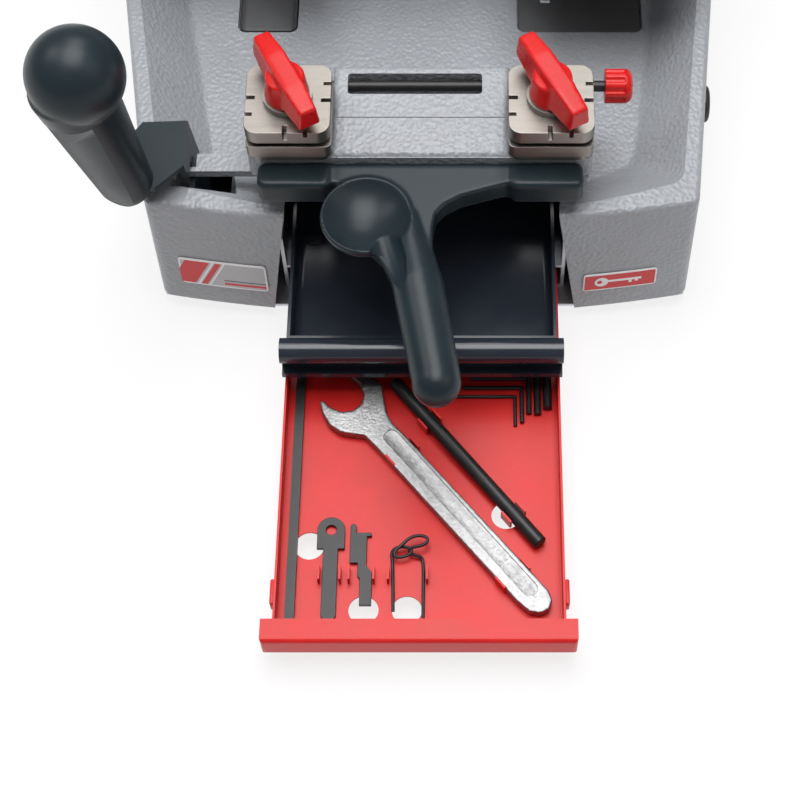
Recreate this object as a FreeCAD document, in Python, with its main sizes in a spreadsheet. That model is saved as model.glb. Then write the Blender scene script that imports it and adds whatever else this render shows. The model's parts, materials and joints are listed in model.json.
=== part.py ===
import FreeCAD, Part
import math
import os
import re
from types import SimpleNamespace
from FreeCAD import Placement, Rotation, Vector

# Key duplicating machine: a cast tub on feet, a tilting carriage with two key clamps,
# a side lever that slides it, a cutter head under a rear hood, a chip tray and a tool drawer.
# Machine frame: X across with 0 on the mid-plane, Y back with 0 at the front wall, Z up from the bench.

doc = FreeCAD.newDocument("key_machine")
sheet = doc.addObject("Spreadsheet::Sheet", "Sizes")

SIZES = [
    ("foot_height", 8, "rubber foot, bench to base plate"),
    ("foot_radius", 13, "rubber foot"),
    ("foot_inset_x", 24, "foot centre inside the front corner"),
    ("foot_front_y", 32, "front foot centre"),
    ("foot_back_y", 296, "back foot centre"),
    ("plate_thick", 2, "sheet base plate"),
    ("body_depth", 330, "front wall to back wall"),
    ("body_half_front", 152, "half width at the front corners"),
    ("body_half_back", 186, "half width at the back"),
    ("body_skew", 16, "how much further the left side stands out at the back"),
    ("body_bow", 14, "how far the corners stand behind the middle of the front"),
    ("front_corner", 15, "front corners at the rim"),
    ("wall_lean", 8, "how far the front's foot stands forward of the rim"),
    ("wall_thick", 6, "cast wall"),
    ("deck_top", 64, "tub floor"),
    ("deck_thick", 6, "tub floor thickness"),
    ("rim_top", 92, "top of the rim"),
    ("rim_width", 8, "flat rim"),
    ("tub_slope", 24, "inner wall run between rim and floor"),
    ("tub_front_run", 26, "inner wall run at the front"),
    ("corner_radius", 7, "outer corner rounding"),
    ("rim_round", 3, "outer edge of the rim"),
    ("tub_round", 6, "corner between tub wall and floor"),
    ("notch_top", 75, "front opening at the rim, half width"),
    ("notch_foot", 87, "front opening at the base plate, half width"),
    ("notch_back", 44, "depth of the front opening"),
    ("well_front", 157, "front edge of the tub recesses"),
    ("well_back", 192, "back edge of the tub recesses"),
    ("well_depth", 4, "depth of the tub recesses"),
    ("well_right_left", 54.5, "right recess, inner edge"),
    ("well_right_right", 129.5, "right recess, outer edge"),
    ("well_left_left", 112.5, "left recess, outer edge"),
    ("well_left_right", 76.5, "left recess, inner edge"),
    ("run_gap", 0.3, "sliding clearance"),
    ("pin_gap", 0.05, "radial clearance of shafts and pins"),
    ("rail_thick", 2, "runner sheet"),
    ("rail_inner", 79, "runner web, inner face from the mid-plane"),
    ("rail_gap", 21, "runner, back end to the back wall"),
    ("rail_front", 13, "runner, front end"),
    ("rail_ledge", 12, "width of a runner ledge"),
    ("drawer_half", 76.5, "tool drawer, half outer width"),
    ("drawer_length", 245, "tool drawer"),
    ("drawer_wall", 1.2, "drawer sheet"),
    ("drawer_height", 14, "drawer side wall"),
    ("drawer_open", 203, "how far the drawer is pulled out"),
    ("bar_half", 82.5, "drawer front bar, half width"),
    ("bar_depth", 13, "drawer front bar"),
    ("bar_height", 17, "drawer front bar"),
    ("tray_half", 74, "chip tray, half outer width"),
    ("tray_length", 205, "chip tray"),
    ("tray_wall", 1.8, "tray wall"),
    ("tray_height", 24, "chip tray"),
    ("tray_open", 50, "how far the tray is pulled out"),
    ("roll_half", 77.5, "tray front roll, half width"),
    ("roll_radius", 7, "tray front roll"),
    ("lip_depth", 5, "lip below the roll"),
    ("shaft_radius", 9, "slide shaft"),
    ("shaft_y", 66, "slide shaft"),
    ("shaft_z", 83, "slide shaft"),
    ("post_near", 82, "shaft post, inner face"),
    ("post_width", 12, "shaft post"),
    ("post_depth", 28, "shaft post"),
    ("sleeve_radius", 13, "slide sleeve"),
    ("sleeve_half", 56, "slide sleeve, half length"),
    ("boss_near", 28, "carriage boss, inner face"),
    ("boss_width", 18, "carriage boss"),
    ("boss_radius", 17.5, "carriage boss"),
    ("carriage_half", 48, "carriage block, half width"),
    ("carriage_front", 21, "carriage block"),
    ("carriage_back", 82, "carriage block"),
    ("carriage_top", 126, "carriage block"),
    ("carriage_thick", 30, "carriage block"),
    ("wing_half", 92, "clamp shelf, half width"),
    ("wing_back", 61, "clamp shelf"),
    ("wing_thick", 16, "clamp shelf"),
    ("slot_left", 40, "gauge slot, left end"),
    ("slot_right", 33, "gauge slot, right end"),
    ("slot_front", 62, "gauge slot"),
    ("slot_back", 76, "gauge slot"),
    ("rod_radius", 3, "gauge rod"),
    ("rod_y", 72, "gauge rod"),
    ("rod_z", 120, "gauge rod"),
    ("rod_left", 88, "gauge rod, left end"),
    ("rod_right", 104, "gauge rod, right end"),
    ("knob_radius", 9.5, "gauge knob"),
    ("knob_length", 15, "gauge knob"),
    ("clamp_x", 69, "clamp centre"),
    ("clamp_y", 40, "clamp centre"),
    ("clamp_side", 45, "jaw plate"),
    ("clamp_seat", 5, "clamp seat plate"),
    ("jaw_lower", 9, "lower jaw"),
    ("jaw_gap", 3, "jaw opening at rest"),
    ("jaw_upper", 9, "upper jaw"),
    ("jaw_cut", 7, "corner cut of the jaws"),
    ("stud_radius", 4, "clamp stud"),
    ("jaw_recess", 2.5, "hollow in the lower jaw for the spring discs"),
    ("disc_radius", 10, "dished spring disc"),
    ("disc_rise", 1.1, "dished spring disc"),
    ("disc_thick", 0.6, "dished spring disc"),
    ("washer_radius", 13, "clamp washer"),
    ("washer_thick", 4, "clamp washer"),
    ("wing_hub", 12, "clamp handle hub radius"),
    ("wing_rise", 15, "clamp handle hub height"),
    ("wing_long", 58, "clamp handle length"),
    ("wing_broad", 15, "clamp handle width"),
    ("wing_tall", 17, "clamp handle blade height"),
    ("wing_turn", 118, "clamp handle direction from the X axis"),
    ("lever_plate_front", 8, "lever plate, front edge"),
    ("lever_top", 121, "lever plate top"),
    ("lever_thick", 15, "lever plate"),
    ("block_inner", 46, "lever end block"),
    ("block_outer", 87, "lever end block"),
    ("block_front", 5, "lever end block, front face"),
    ("dish_x", -28.3, "palm dish"),
    ("dish_y", -13, "palm dish"),
    ("dish_radius", 23.3, "palm dish"),
    ("dish_depth", 7, "palm dish"),
    ("arm_tip_x", 10, "lever grip end"),
    ("arm_tip_y", -106.5, "lever grip end"),
    ("arm_tip_z", 106, "lever grip end"),
    ("grip_radius", 12.7, "lever grip end"),
    ("arm_root_x", -6.5, "grip start"),
    ("arm_root_y", -20, "grip start"),
    ("pivot_x", -122, "side lever pivot"),
    ("pivot_y", 42, "side lever pivot"),
    ("pivot_z", 24, "side lever pivot"),
    ("pivot_radius", 4, "side lever pin"),
    ("strap_thick", 3, "side lever strap"),
    ("strap_width", 30, "side lever strap"),
    ("ridge_x", -130, "strap ridge"),
    ("ridge_z", 109, "strap ridge"),
    ("swing_left", 5, "side lever travel to the left, degrees"),
    ("swing_right", 20, "side lever travel to the right, degrees"),
    ("grip_foot_x", -158, "side grip lower end"),
    ("grip_foot_y", 18, "side grip"),
    ("grip_foot_z", 108, "side grip lower end"),
    ("grip_foot_radius", 12.5, "side grip lower end"),
    ("ball_x", -167, "side grip ball"),
    ("ball_y", 12, "side grip ball"),
    ("ball_z", 204, "side grip ball"),
    ("ball_radius", 25, "side grip ball"),
    ("link_z", 86, "link between side lever and sleeve"),
    ("link_thick", 5, "link"),
    ("hood_inset", 4, "rear hood, in from the rim's outer edge"),
    ("hood_front", 195, "rear hood"),
    ("hood_back", 326, "rear hood"),
    ("hood_top", 212, "rear hood"),
    ("hood_wall", 3, "rear hood"),
    ("hood_round", 24, "rear hood edges"),
    ("spindle_y", 162, "cutter spindle"),
    ("spindle_z", 130, "cutter spindle"),
    ("spindle_radius", 8, "cutter spindle"),
    ("spindle_left", 50, "cutter spindle, left end"),
    ("spindle_right", 152, "cutter spindle, right end"),
    ("housing_left", 84, "spindle housing"),
    ("housing_right", 132, "spindle housing"),
    ("housing_radius", 23, "spindle housing"),
    ("bearing_radius", 16, "spindle bearing"),
    ("bearing_width", 9, "spindle bearing"),
    ("cutter_radius", 30, "cutter wheel"),
    ("cutter_width", 5, "cutter wheel"),
    ("cutter_teeth", 48, "cutter wheel"),
    ("tooth_depth", 1.6, "cutter wheel"),
    ("pulley_radius", 17, "spindle pulley"),
    ("pulley_width", 12, "pulleys"),
    ("belt_thick", 2.5, "drive belt"),
    ("belt_width", 9, "drive belt"),
    ("motor_y", 258, "motor axis"),
    ("motor_z", 126, "motor axis"),
    ("motor_radius", 44, "motor"),
    ("motor_left", -70, "motor"),
    ("motor_right", 84, "motor"),
    ("motor_shaft_radius", 7, "motor shaft"),
    ("motor_pulley_radius", 21, "motor pulley"),
    ("guard_gap", 5, "cutter guard around the cutter"),
    ("guard_thick", 2, "cutter guard"),
    ("tracer_thick", 3, "tracer blade"),
    ("tracer_height", 14, "tracer blade"),
    ("tracer_reach", 34, "tracer blade"),
    ("holder_half", 13, "tracer holder, half width"),
    ("holder_height", 32, "tracer holder"),
    ("ring_radius", 14, "tracer adjusting ring"),
    ("ring_width", 10, "tracer adjusting ring"),
    ("cap_radius", 11, "side plug"),
    ("cap_y", 116, "side plug"),
    ("cap_z", 48, "side plug"),
    ("badge_thick", 0.8, "front plates"),
    ("badge_glue", 0.3, "glue film behind the front plates"),
    ("badge_left_width", 50, "left front plate"),
    ("badge_left_height", 22, "left front plate"),
    ("badge_right_width", 42, "right front plate"),
    ("badge_right_height", 14, "right front plate"),
    ("badge_z", 26, "front plates, lower edge"),
    ("tool_thick", 5, "open-end wrench"),
    ("wrench_length", 168, "open-end wrench"),
    ("wrench_width", 15, "open-end wrench shank"),
    ("wrench_head", 20, "open-end wrench head radius"),
    ("wrench_jaw", 22, "open-end wrench opening"),
    ("pin_bar_radius", 4, "tommy bar"),
    ("pin_bar_length", 128, "tommy bar"),
    ("side_bar_width", 5, "long bar beside the drawer wall"),
    ("hex_key_long", 33, "hex keys"),
    ("hole_radius", 8, "finger holes of the drawer floor"),
    ("switch_width", 22, "main switch"),
    ("switch_height", 30, "main switch"),
    ("trunnion_radius", 1.5, "pivot of the switch rocker"),
    ("inlet_width", 28, "power inlet"),
    ("inlet_height", 22, "power inlet"),
    ("cradle_front", 40, "motor cradle, in front of the motor axis"),
    ("cradle_gap", 26, "motor cradle to the back wall"),
    ("cradle_inset", 20, "motor cradle, in from the motor's ends"),
    ("cradle_drop", 16, "top of the motor cradle below the motor axis"),
    ("flange_radius", 14, "spindle flange behind the cutter"),
    ("gauge_reach", 56.4, "key gauge, drawer front to its ring"),
    ("groove_tail", 26, "wrench panel, from the shank's round end"),
    ("groove_head", 34, "wrench panel, from the head"),
    ("far", 400, "cutting tools run out past the machine"),
]

for number, (alias, value, meaning) in enumerate(SIZES, start=1):
    sheet.set("A%d" % number, meaning)
    sheet.set("B%d" % number, str(value))
    sheet.setAlias("B%d" % number, alias)
doc.recompute()
s = SimpleNamespace(**{alias: float(sheet.get(alias)) for alias, value, meaning in SIZES})
nodes = []


# Bound objects: a formula in the sheet's words drives each size and place

def bind(thing, prop, formula):
    words = re.sub(r"[a-z][a-z_]*[a-z]", lambda m: "Sizes." + m.group(0), formula)
    thing.setExpression(prop, words)


def place(thing, x, y, z):
    for axis, formula in zip("xyz", (x, y, z)):
        bind(thing, "Placement.Base." + axis, formula)


def box(name, long, deep, high, x, y, z):
    thing = doc.addObject("Part::Box", name)
    bind(thing, "Length", long)
    bind(thing, "Width", deep)
    bind(thing, "Height", high)
    place(thing, x, y, z)
    return thing


TURN = {"x": Rotation(Vector(0, 1, 0), 90), "y": Rotation(Vector(1, 0, 0), -90), "z": Rotation()}


def rod(name, radius, length, x, y, z, along="z"):
    thing = doc.addObject("Part::Cylinder", name)
    bind(thing, "Radius", radius)
    bind(thing, "Height", length)
    thing.Placement = Placement(Vector(), TURN[along])
    place(thing, x, y, z)
    return thing


def cut(name, base, tool):
    thing = doc.addObject("Part::Cut", name)
    thing.Base = base
    thing.Tool = tool
    return thing


def fuse(name, *pieces):
    thing = doc.addObject("Part::MultiFuse", name)
    thing.Shapes = list(pieces)
    return thing


def group(name, *pieces):
    thing = doc.addObject("Part::Compound", name)
    thing.Links = list(pieces)
    return thing


def node(label, thing):
    thing.Label = label
    nodes.append(thing)
    return thing


def free_form(label, shape):
    thing = doc.addObject("Part::Feature", label)
    thing.Shape = shape
    return node(label, thing)


# Plain shapes read from the sheet, for the cast and hand-shaped pieces

def block(x0, x1, y0, y1, z0, z1):
    return Part.makeBox(x1 - x0, y1 - y0, z1 - z0, Vector(x0, y0, z0))


def bar(radius, start, end):
    axis = Vector(*end) - Vector(*start)
    return Part.makeCylinder(radius, axis.Length, Vector(*start), axis)


def plane_wire(points):
    return Part.makePolygon([Vector(*p) for p in points] + [Vector(*points[0])])


def slab(points, z0, z1):
    return Part.Face(plane_wire([(x, y, z0) for x, y in points])).extrude(Vector(0, 0, z1 - z0))


def side_slab(points, x0, x1):
    return Part.Face(plane_wire([(x0, y, z) for y, z in points])).extrude(Vector(x1 - x0, 0, 0))


def front_slab(points, y0, y1):
    return Part.Face(plane_wire([(x, y0, z) for x, z in points])).extrude(Vector(0, y1 - y0, 0))


def along_z(shape, reach):
    return [e for e in shape.Edges if abs(e.Vertexes[0].Z - e.Vertexes[-1].Z) > reach]


def edges_at(shape, z):
    return [e for e in shape.Edges if all(abs(v.Z - z) < 0.1 for v in e.Vertexes)]


def moved(shape, x=0, y=0, z=0):
    copy = shape.copy()
    copy.translate(Vector(x, y, z))
    return copy


# Base housing: a bowed front, sides that widen to the back, a sunk tub and a front opening

def plan_wire(half_front, half_back, front_corner, bow, back, z):
    left = Vector(-half_front, front_corner, z)
    right = Vector(half_front, front_corner, z)
    middle = Vector(0, front_corner - bow, z)
    back_right = Vector(half_back, back, z)
    back_left = Vector(-half_back - s.body_skew, back, z)
    edges = [Part.Arc(left, middle, right).toShape(), Part.makeLine(right, back_right)]
    edges += [Part.makeLine(back_right, back_left), Part.makeLine(back_left, left)]
    return Part.Wire(edges)


def plan_loft(lower, upper):
    return Part.makeLoft([plan_wire(*lower), plan_wire(*upper)], True, True)


plate_top = s.foot_height + s.plate_thick
front_corner = s.front_corner
foot_front = front_corner - s.wall_lean
rim = s.rim_width
foot_half = s.body_half_front - rim - s.tub_slope
foot_corner = front_corner + s.rim_width + s.tub_front_run + 12
outer = plan_loft(
    (s.body_half_front, s.body_half_back, foot_front, s.body_bow, s.body_depth, plate_top),
    (s.body_half_front, s.body_half_back, front_corner, s.body_bow, s.body_depth, s.rim_top))
outer = outer.makeFillet(s.corner_radius, along_z(outer, 1.0))
outer = outer.makeFillet(s.rim_round, edges_at(outer, s.rim_top))
tub_rim = (s.body_half_front - rim, s.body_half_back - rim, front_corner + 14, 24.0,
           s.body_depth - s.wall_thick, s.rim_top + 0.01)
tub_floor = (foot_half, s.body_half_back - rim - s.tub_slope, foot_corner, 31.0,
             s.body_depth - s.wall_thick, s.deck_top)
tub = plan_loft(tub_floor, tub_rim)
tub = tub.makeFillet(2.5 * s.corner_radius, [e for e in along_z(tub, 1.0) if e.CenterOfMass.y < 100])
floor_edges = [e for e in edges_at(tub, s.deck_top) if e.CenterOfMass.y < s.body_depth - 20]
tub = tub.makeFillet(s.tub_round, floor_edges)
wall = s.wall_thick
deck_under = s.deck_top - s.deck_thick
hollow = plan_loft(
    (s.body_half_front - wall, s.body_half_back - wall, foot_front + wall, s.body_bow,
     s.body_depth - wall, plate_top - 1),
    (s.body_half_front - wall, s.body_half_back - wall, front_corner + wall, s.body_bow,
     s.body_depth - wall, deck_under))
top_half = s.notch_top
foot_wide = s.notch_foot
opening = front_slab([(-foot_wide, 0), (foot_wide, 0), (foot_wide, plate_top), (top_half, s.rim_top),
                      (top_half, 200),
                      (-top_half, 200), (-top_half, s.rim_top), (-foot_wide, plate_top)], -60, s.notch_back)
well_floor = s.deck_top - s.well_depth
wells = block(s.well_right_left, s.well_right_right, s.well_front, s.well_back, well_floor, s.rim_top)
wells = wells.makeFillet(5, along_z(wells, 1.0))
well_left = block(-s.well_left_left, -s.well_left_right, s.well_front, s.well_back, well_floor, s.rim_top)
wells = wells.fuse(well_left.makeFillet(5, along_z(well_left, 1.0)))

# The slot for the side lever's strap widens upwards, as the strap swings, with a way for the link beside it
lean = (s.ridge_x - s.pivot_x) / (s.ridge_z - s.pivot_z)
lean_left = math.tan(math.atan(lean) - math.radians(s.swing_left + 1))
lean_right = math.tan(math.atan(lean) + math.radians(s.swing_right + 1))
slot_side = s.strap_thick / 2 + 1.2
slot_low = deck_under - 1 - s.pivot_z
slot_high = s.rim_top + 1 - s.pivot_z
slot_plan = [(slot_low * lean_left - slot_side, slot_low), (slot_low * lean_right + slot_side, slot_low),
             (slot_high * lean_right + slot_side, slot_high),
             (slot_high * lean_left - slot_side, slot_high)]
strap_slot = front_slab([(s.pivot_x + x, s.pivot_z + z) for x, z in slot_plan],
                        s.pivot_y - s.strap_width / 2 - 2, s.pivot_y + s.strap_width / 2 + 2)
strap_at_link = s.pivot_x + (s.link_z + s.link_thick / 2 - s.pivot_z) * lean
link_front = s.pivot_y - 6
strap_slot = strap_slot.fuse(block(strap_at_link - 16, strap_at_link + 40, link_front - 2, link_front + 14,
                                   s.link_z - 2, s.rim_top + 1))
plug_hole = bar(s.cap_radius - 3, (140, s.cap_y, s.cap_z), (200, s.cap_y, s.cap_z))
housing = outer.cut(tub).cut(hollow).cut(opening).cut(wells).cut(strap_slot).cut(plug_hole)
rear_cut = s.hood_back - 60
inlet_x = -90.0
inlet_z = plate_top + 26
housing = housing.cut(block(inlet_x - s.inlet_width / 2, inlet_x + s.inlet_width / 2,
                            rear_cut, s.body_depth + 20, inlet_z, inlet_z + s.inlet_height))
free_form("base_housing", housing.removeSplitter())

# Base plate: one folded sheet under the housing, with the drawer runners standing on it
sheet_plan = (s.body_half_front - 1, s.body_half_back - 1, foot_front + 1, s.body_bow, s.body_depth - 1)
plate = plan_loft(sheet_plan + (s.foot_height,), sheet_plan + (plate_top,))
plate = plate.cut(block(-foot_wide, foot_wide, -60, 0, 0, s.rim_top))
free_form("base_plate", plate)

# Rubber feet, one group of four
foot = []
for tag, sign in (("left", "-1"), ("right", "1")):
    for end in ("front", "back"):
        foot.append(rod("foot_%s_%s" % (end, tag), "foot_radius", "foot_height",
                        sign + " * (body_half_front - foot_inset_x)", "foot_%s_y" % end, "0"))
node("rubber_feet", group("rubber_feet", *foot))

# Runners: a web with a lower ledge for the drawer and an upper ledge for the tray
drawer_floor = plate_top + s.rail_thick + s.run_gap
tray_ledge = drawer_floor + s.drawer_wall + s.drawer_height + 1.5
tray_floor = tray_ledge + s.rail_thick + s.run_gap
for tag, sign in (("left", -1), ("right", 1)):
    rail_back = s.body_depth - s.wall_thick - s.rail_gap
    web = block(s.rail_inner, s.rail_inner + s.rail_thick, s.rail_front, rail_back, plate_top, deck_under)
    for z in (plate_top, tray_ledge):
        web = web.fuse(block(s.rail_inner - s.rail_ledge, s.rail_inner, s.rail_front, rail_back, z,
                             z + s.rail_thick))
    if sign < 0:
        web = web.mirror(Vector(), Vector(1, 0, 0))
    free_form("runner_" + tag, web.removeSplitter())

# Tool drawer: red sheet tray with a front bar, finger holes and spring clips
bar_front = -s.bar_depth - s.drawer_open
drawer_front = bar_front + s.bar_depth
inner = s.drawer_half - s.drawer_wall
drawer = block(-s.drawer_half, s.drawer_half, drawer_front, drawer_front + s.drawer_length,
               drawer_floor, drawer_floor + s.drawer_wall + s.drawer_height)
drawer = drawer.cut(block(-inner, inner, drawer_front - 1, drawer_front + s.drawer_length - s.drawer_wall,
                          drawer_floor + s.drawer_wall, s.rim_top))
holes = ((-60, 48), (-30, 11), (-7, 11), (46, 66))
for x, y in holes:
    drawer = drawer.cut(bar(s.hole_radius, (x, drawer_front + y, drawer_floor - 1),
                            (x, drawer_front + y, drawer_floor + 5)))
front_bar = block(-s.bar_half, s.bar_half, bar_front, drawer_front, drawer_floor,
                  drawer_floor + s.bar_height)
bar_edges = [e for e in front_bar.Edges if abs(e.CenterOfMass.y - bar_front) < 0.1]
front_bar = front_bar.makeFillet(2.5, bar_edges)
floor_top = drawer_floor + s.drawer_wall
clip_height = 7.0
clips = []
wrench_end = Vector(62, drawer_front + 14, floor_top)
wrench_way = math.radians(129.6)
across = Vector(-math.sin(wrench_way), math.cos(wrench_way), 0)


def spring_clip(x, y, turn, gap):
    pair = []
    for side in (-1, 1):
        tab = block(-4, 4, 0, 1.2, floor_top - 0.2, floor_top + clip_height)
        tab.translate(Vector(0, side * gap - 0.6, 0))
        tab.rotate(Vector(), Vector(0, 0, 1), turn)
        tab.translate(Vector(x, y, 0))
        pair.append(tab)
    return pair


wrench_turn = math.degrees(wrench_way)
for share in (0.12, 0.68):
    spot = wrench_end + Vector(math.cos(wrench_way), math.sin(wrench_way), 0) * (s.wrench_length * share)
    clips += spring_clip(spot.x, spot.y, wrench_turn, s.wrench_width / 2 + 1.1)
bar_start = Vector(64.4, drawer_front + 47.3, floor_top + s.pin_bar_radius + s.run_gap)
bar_way = math.radians(129.0)
for share in (0.18, 0.75):
    spot = bar_start + Vector(math.cos(bar_way), math.sin(bar_way), 0) * (s.pin_bar_length * share)
    clips += spring_clip(spot.x, spot.y, math.degrees(bar_way), s.pin_bar_radius + 1.0)
gauge_x = (-48.5, -31.5, -6.8)
for x, gap in zip(gauge_x, (5.6, 6.6, 10.4)):
    clips += spring_clip(x, drawer_front + 30, 90, gap)
free_form("tool_drawer", drawer.fuse([front_bar] + clips).removeSplitter())

# Tools kept in the drawer
shank = s.wrench_width / 2
head_at = s.wrench_length - s.wrench_head * 0.7
wrench = slab([(0, -shank * 0.85), (head_at, -shank), (head_at, shank), (0, shank * 0.85)], 0, s.tool_thick)
wrench = wrench.fuse(Part.makeCylinder(shank * 0.85, s.tool_thick))
wrench = wrench.fuse(Part.makeCylinder(s.wrench_head, s.tool_thick + 1.5, Vector(head_at, 0, 0)))
mouth = block(0, 40, -s.wrench_jaw / 2, s.wrench_jaw / 2, -1, 20)
mouth = mouth.fuse(Part.makeCylinder(s.wrench_jaw / 2, 21, Vector(0, 0, -1)))
mouth.rotate(Vector(), Vector(0, 0, 1), 12)
wrench = wrench.cut(moved(mouth, head_at))
groove = block(s.groove_tail, head_at - s.groove_head, -shank * 0.45, shank * 0.45,
               s.tool_thick - 0.8, s.tool_thick + 1)
wrench = wrench.cut(groove)
wrench.rotate(Vector(), Vector(0, 0, 1), wrench_turn)
free_form("open_end_wrench", moved(wrench, wrench_end.x, wrench_end.y, floor_top))
tommy_end = bar_start + Vector(math.cos(bar_way), math.sin(bar_way), 0) * s.pin_bar_length
tommy = Part.makeCylinder(s.pin_bar_radius, s.pin_bar_length, bar_start, tommy_end - bar_start)
free_form("tommy_bar", tommy.makeChamfer(0.8, [e for e in tommy.Edges if e.Closed]))
node("side_bar", group("side_bar", box("side_bar_box", "side_bar_width", "drawer_length - 12", "4",
                     "0 - drawer_half + drawer_wall + 4",
                     "0 - drawer_open + 4",
                     "foot_height + plate_thick + rail_thick + run_gap + drawer_wall")))
gauge_thick = 2.5
ring_y = drawer_front + s.gauge_reach
key_gauge = slab([(-4, drawer_front + 8), (4, drawer_front + 8), (4, ring_y - 11), (7.5, ring_y - 11),
                  (7.5, ring_y),
                  (-7.5, ring_y), (-7.5, ring_y - 11), (-4, ring_y - 11)], 0, gauge_thick)
key_gauge = key_gauge.fuse([Part.makeCylinder(4, gauge_thick, Vector(0, drawer_front + 8, 0)),
                            Part.makeCylinder(7.5, gauge_thick, Vector(0, ring_y, 0))])
key_gauge = key_gauge.cut(Part.makeCylinder(2.9, 9, Vector(0, ring_y, -3))).removeSplitter()
free_form("key_gauge", moved(key_gauge, gauge_x[0], 0, floor_top))
stop_outline = ((-0.9, 12.9), (5.6, 12.9), (5.6, 31.4), (2.5, 35.8), (2.5, 52.8), (4.9, 52.8), (4.9, 54.8),
                (-3.3, 54.8),
                (-3.3, 59), (-5, 60.3), (-6.6, 59), (-6.6, 37.1), (-2.2, 37.1), (-2.2, 30), (-0.9, 28))
stop = slab([(x, drawer_front + y) for x, y in stop_outline], 0, gauge_thick)
free_form("stop_gauge", moved(stop, gauge_x[1], 0, floor_top))


def bent_wire(points, radius):
    runs = [bar(radius, a, b) for a, b in zip(points, points[1:])]
    elbows = [Part.makeSphere(radius, Vector(*p)) for p in points[1:-1]]
    return runs[0].fuse(runs[1:] + elbows)


wire_z = floor_top + 1.4
wire_x = gauge_x[2]
wire_points = ((-7.9, 9.8, 0), (-7.9, 40, 0), (-10, 42.5, 2), (-7, 45, 3), (-1, 44.6, 3.5), (0.5, 42.5, 4),
               (-4, 40.5, 5),
               (-9.5, 42, 6), (-7.5, 46.5, 6), (0, 48, 6), (4, 52, 6), (10, 52, 5), (10.5, 49.5, 4),
               (4, 47.5, 3), (3, 43, 2),
               (7.9, 41, 0), (7.9, 5.5, 0))
clip_wire = [(wire_x + x, drawer_front + y, wire_z + z) for x, y, z in wire_points]
free_form("wire_clip", bent_wire(clip_wire, 1.1))
hex_keys = []
hex_sizes = ((1.0, 51.7, 139, 120.3), (1.25, 55.5, 144.5, 122.4), (1.5, 59.4, 150.5, 127.8),
             (2.0, 64.2, 157, 127.2),
             (2.5, 69.8, 164, 130.6))
for radius, x, bend_y, end_y in hex_sizes:
    z = floor_top + radius
    hex_keys.append(bent_wire([(x, drawer_front + end_y, z), (x, drawer_front + bend_y, z),
                               (x - s.hex_key_long, drawer_front + bend_y, z)], radius))
free_form("hex_keys", Part.makeCompound(hex_keys))

# Chip tray: moulded box with a rolled front edge
tray_front = -s.tray_open
tray_top = tray_floor + s.tray_height
tray = block(-s.tray_half, s.tray_half, tray_front, tray_front + s.tray_length, tray_floor, tray_top)
tray = tray.makeFillet(5, [e for e in tray.Edges if abs(e.CenterOfMass.z - tray_floor) < 0.1])
tray_in = s.tray_half - s.tray_wall
hole = block(-tray_in, tray_in, tray_front + s.tray_wall, tray_front + s.tray_length - s.tray_wall,
             tray_floor + s.tray_wall, tray_top + 9)
hole = hole.makeFillet(4, [e for e in hole.Edges if abs(e.CenterOfMass.z - tray_floor - s.tray_wall) < 0.1])
tray = tray.cut(hole)
roll_z = tray_top - s.roll_radius + 4
roll = bar(s.roll_radius, (-s.roll_half, tray_front - s.roll_radius + 1, roll_z),
           (s.roll_half, tray_front - s.roll_radius + 1, roll_z))
lip = block(-s.roll_half, s.roll_half, tray_front - s.roll_radius - s.lip_depth, tray_front + 0.5,
            tray_floor + 2, tray_floor + 6)
apron = block(-s.roll_half, s.roll_half, tray_front - s.roll_radius, tray_front + 0.5, tray_floor + 2,
              roll_z)
roll_cut = block(-s.roll_half - 1, s.roll_half + 1, tray_front, tray_front + 30, 0, s.rim_top)
front_roll = roll.fuse([lip, apron]).cut(roll_cut)
free_form("chip_tray", tray.fuse(front_roll).removeSplitter())

# Slide shaft on two posts, and the side plugs
posts = []
for tag, sign in (("left", -1), ("right", 1)):
    post = block(s.post_near, s.post_near + s.post_width, s.shaft_y - s.post_depth / 2,
                 s.shaft_y + s.post_depth / 2,
                 s.deck_top, s.shaft_z)
    post = post.fuse(bar(s.post_depth / 2, (s.post_near, s.shaft_y, s.shaft_z),
                         (s.post_near + s.post_width, s.shaft_y, s.shaft_z)))
    post = post.common(block(0, s.far, -s.far, s.far, s.deck_top, s.far))
    post = post.cut(bar(s.shaft_radius, (0, s.shaft_y, s.shaft_z), (s.far, s.shaft_y, s.shaft_z)))
    posts.append(post if sign > 0 else post.mirror(Vector(), Vector(1, 0, 0)))
free_form("shaft_posts", Part.makeCompound(posts))
node("slide_shaft", group("slide_shaft", rod(
    "slide_shaft_bar", "shaft_radius", "2 * (post_near + post_width)",
    "0 - post_near - post_width", "shaft_y", "shaft_z", "x")))
wall_at_cap = s.body_half_front + (s.body_half_back - s.body_half_front) * s.cap_y / s.body_depth
cap = bar(s.cap_radius, (wall_at_cap, s.cap_y, s.cap_z), (wall_at_cap + 4, s.cap_y, s.cap_z))
cap = cap.makeFillet(2.5, [e for e in cap.Edges if e.CenterOfMass.x > wall_at_cap + 3.9])
stem = bar(s.cap_radius - 3, (wall_at_cap - s.wall_thick, s.cap_y, s.cap_z),
           (wall_at_cap, s.cap_y, s.cap_z))
free_form("side_plug", cap.fuse(stem).cut(outer.cut(plug_hole)).removeSplitter())

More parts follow.
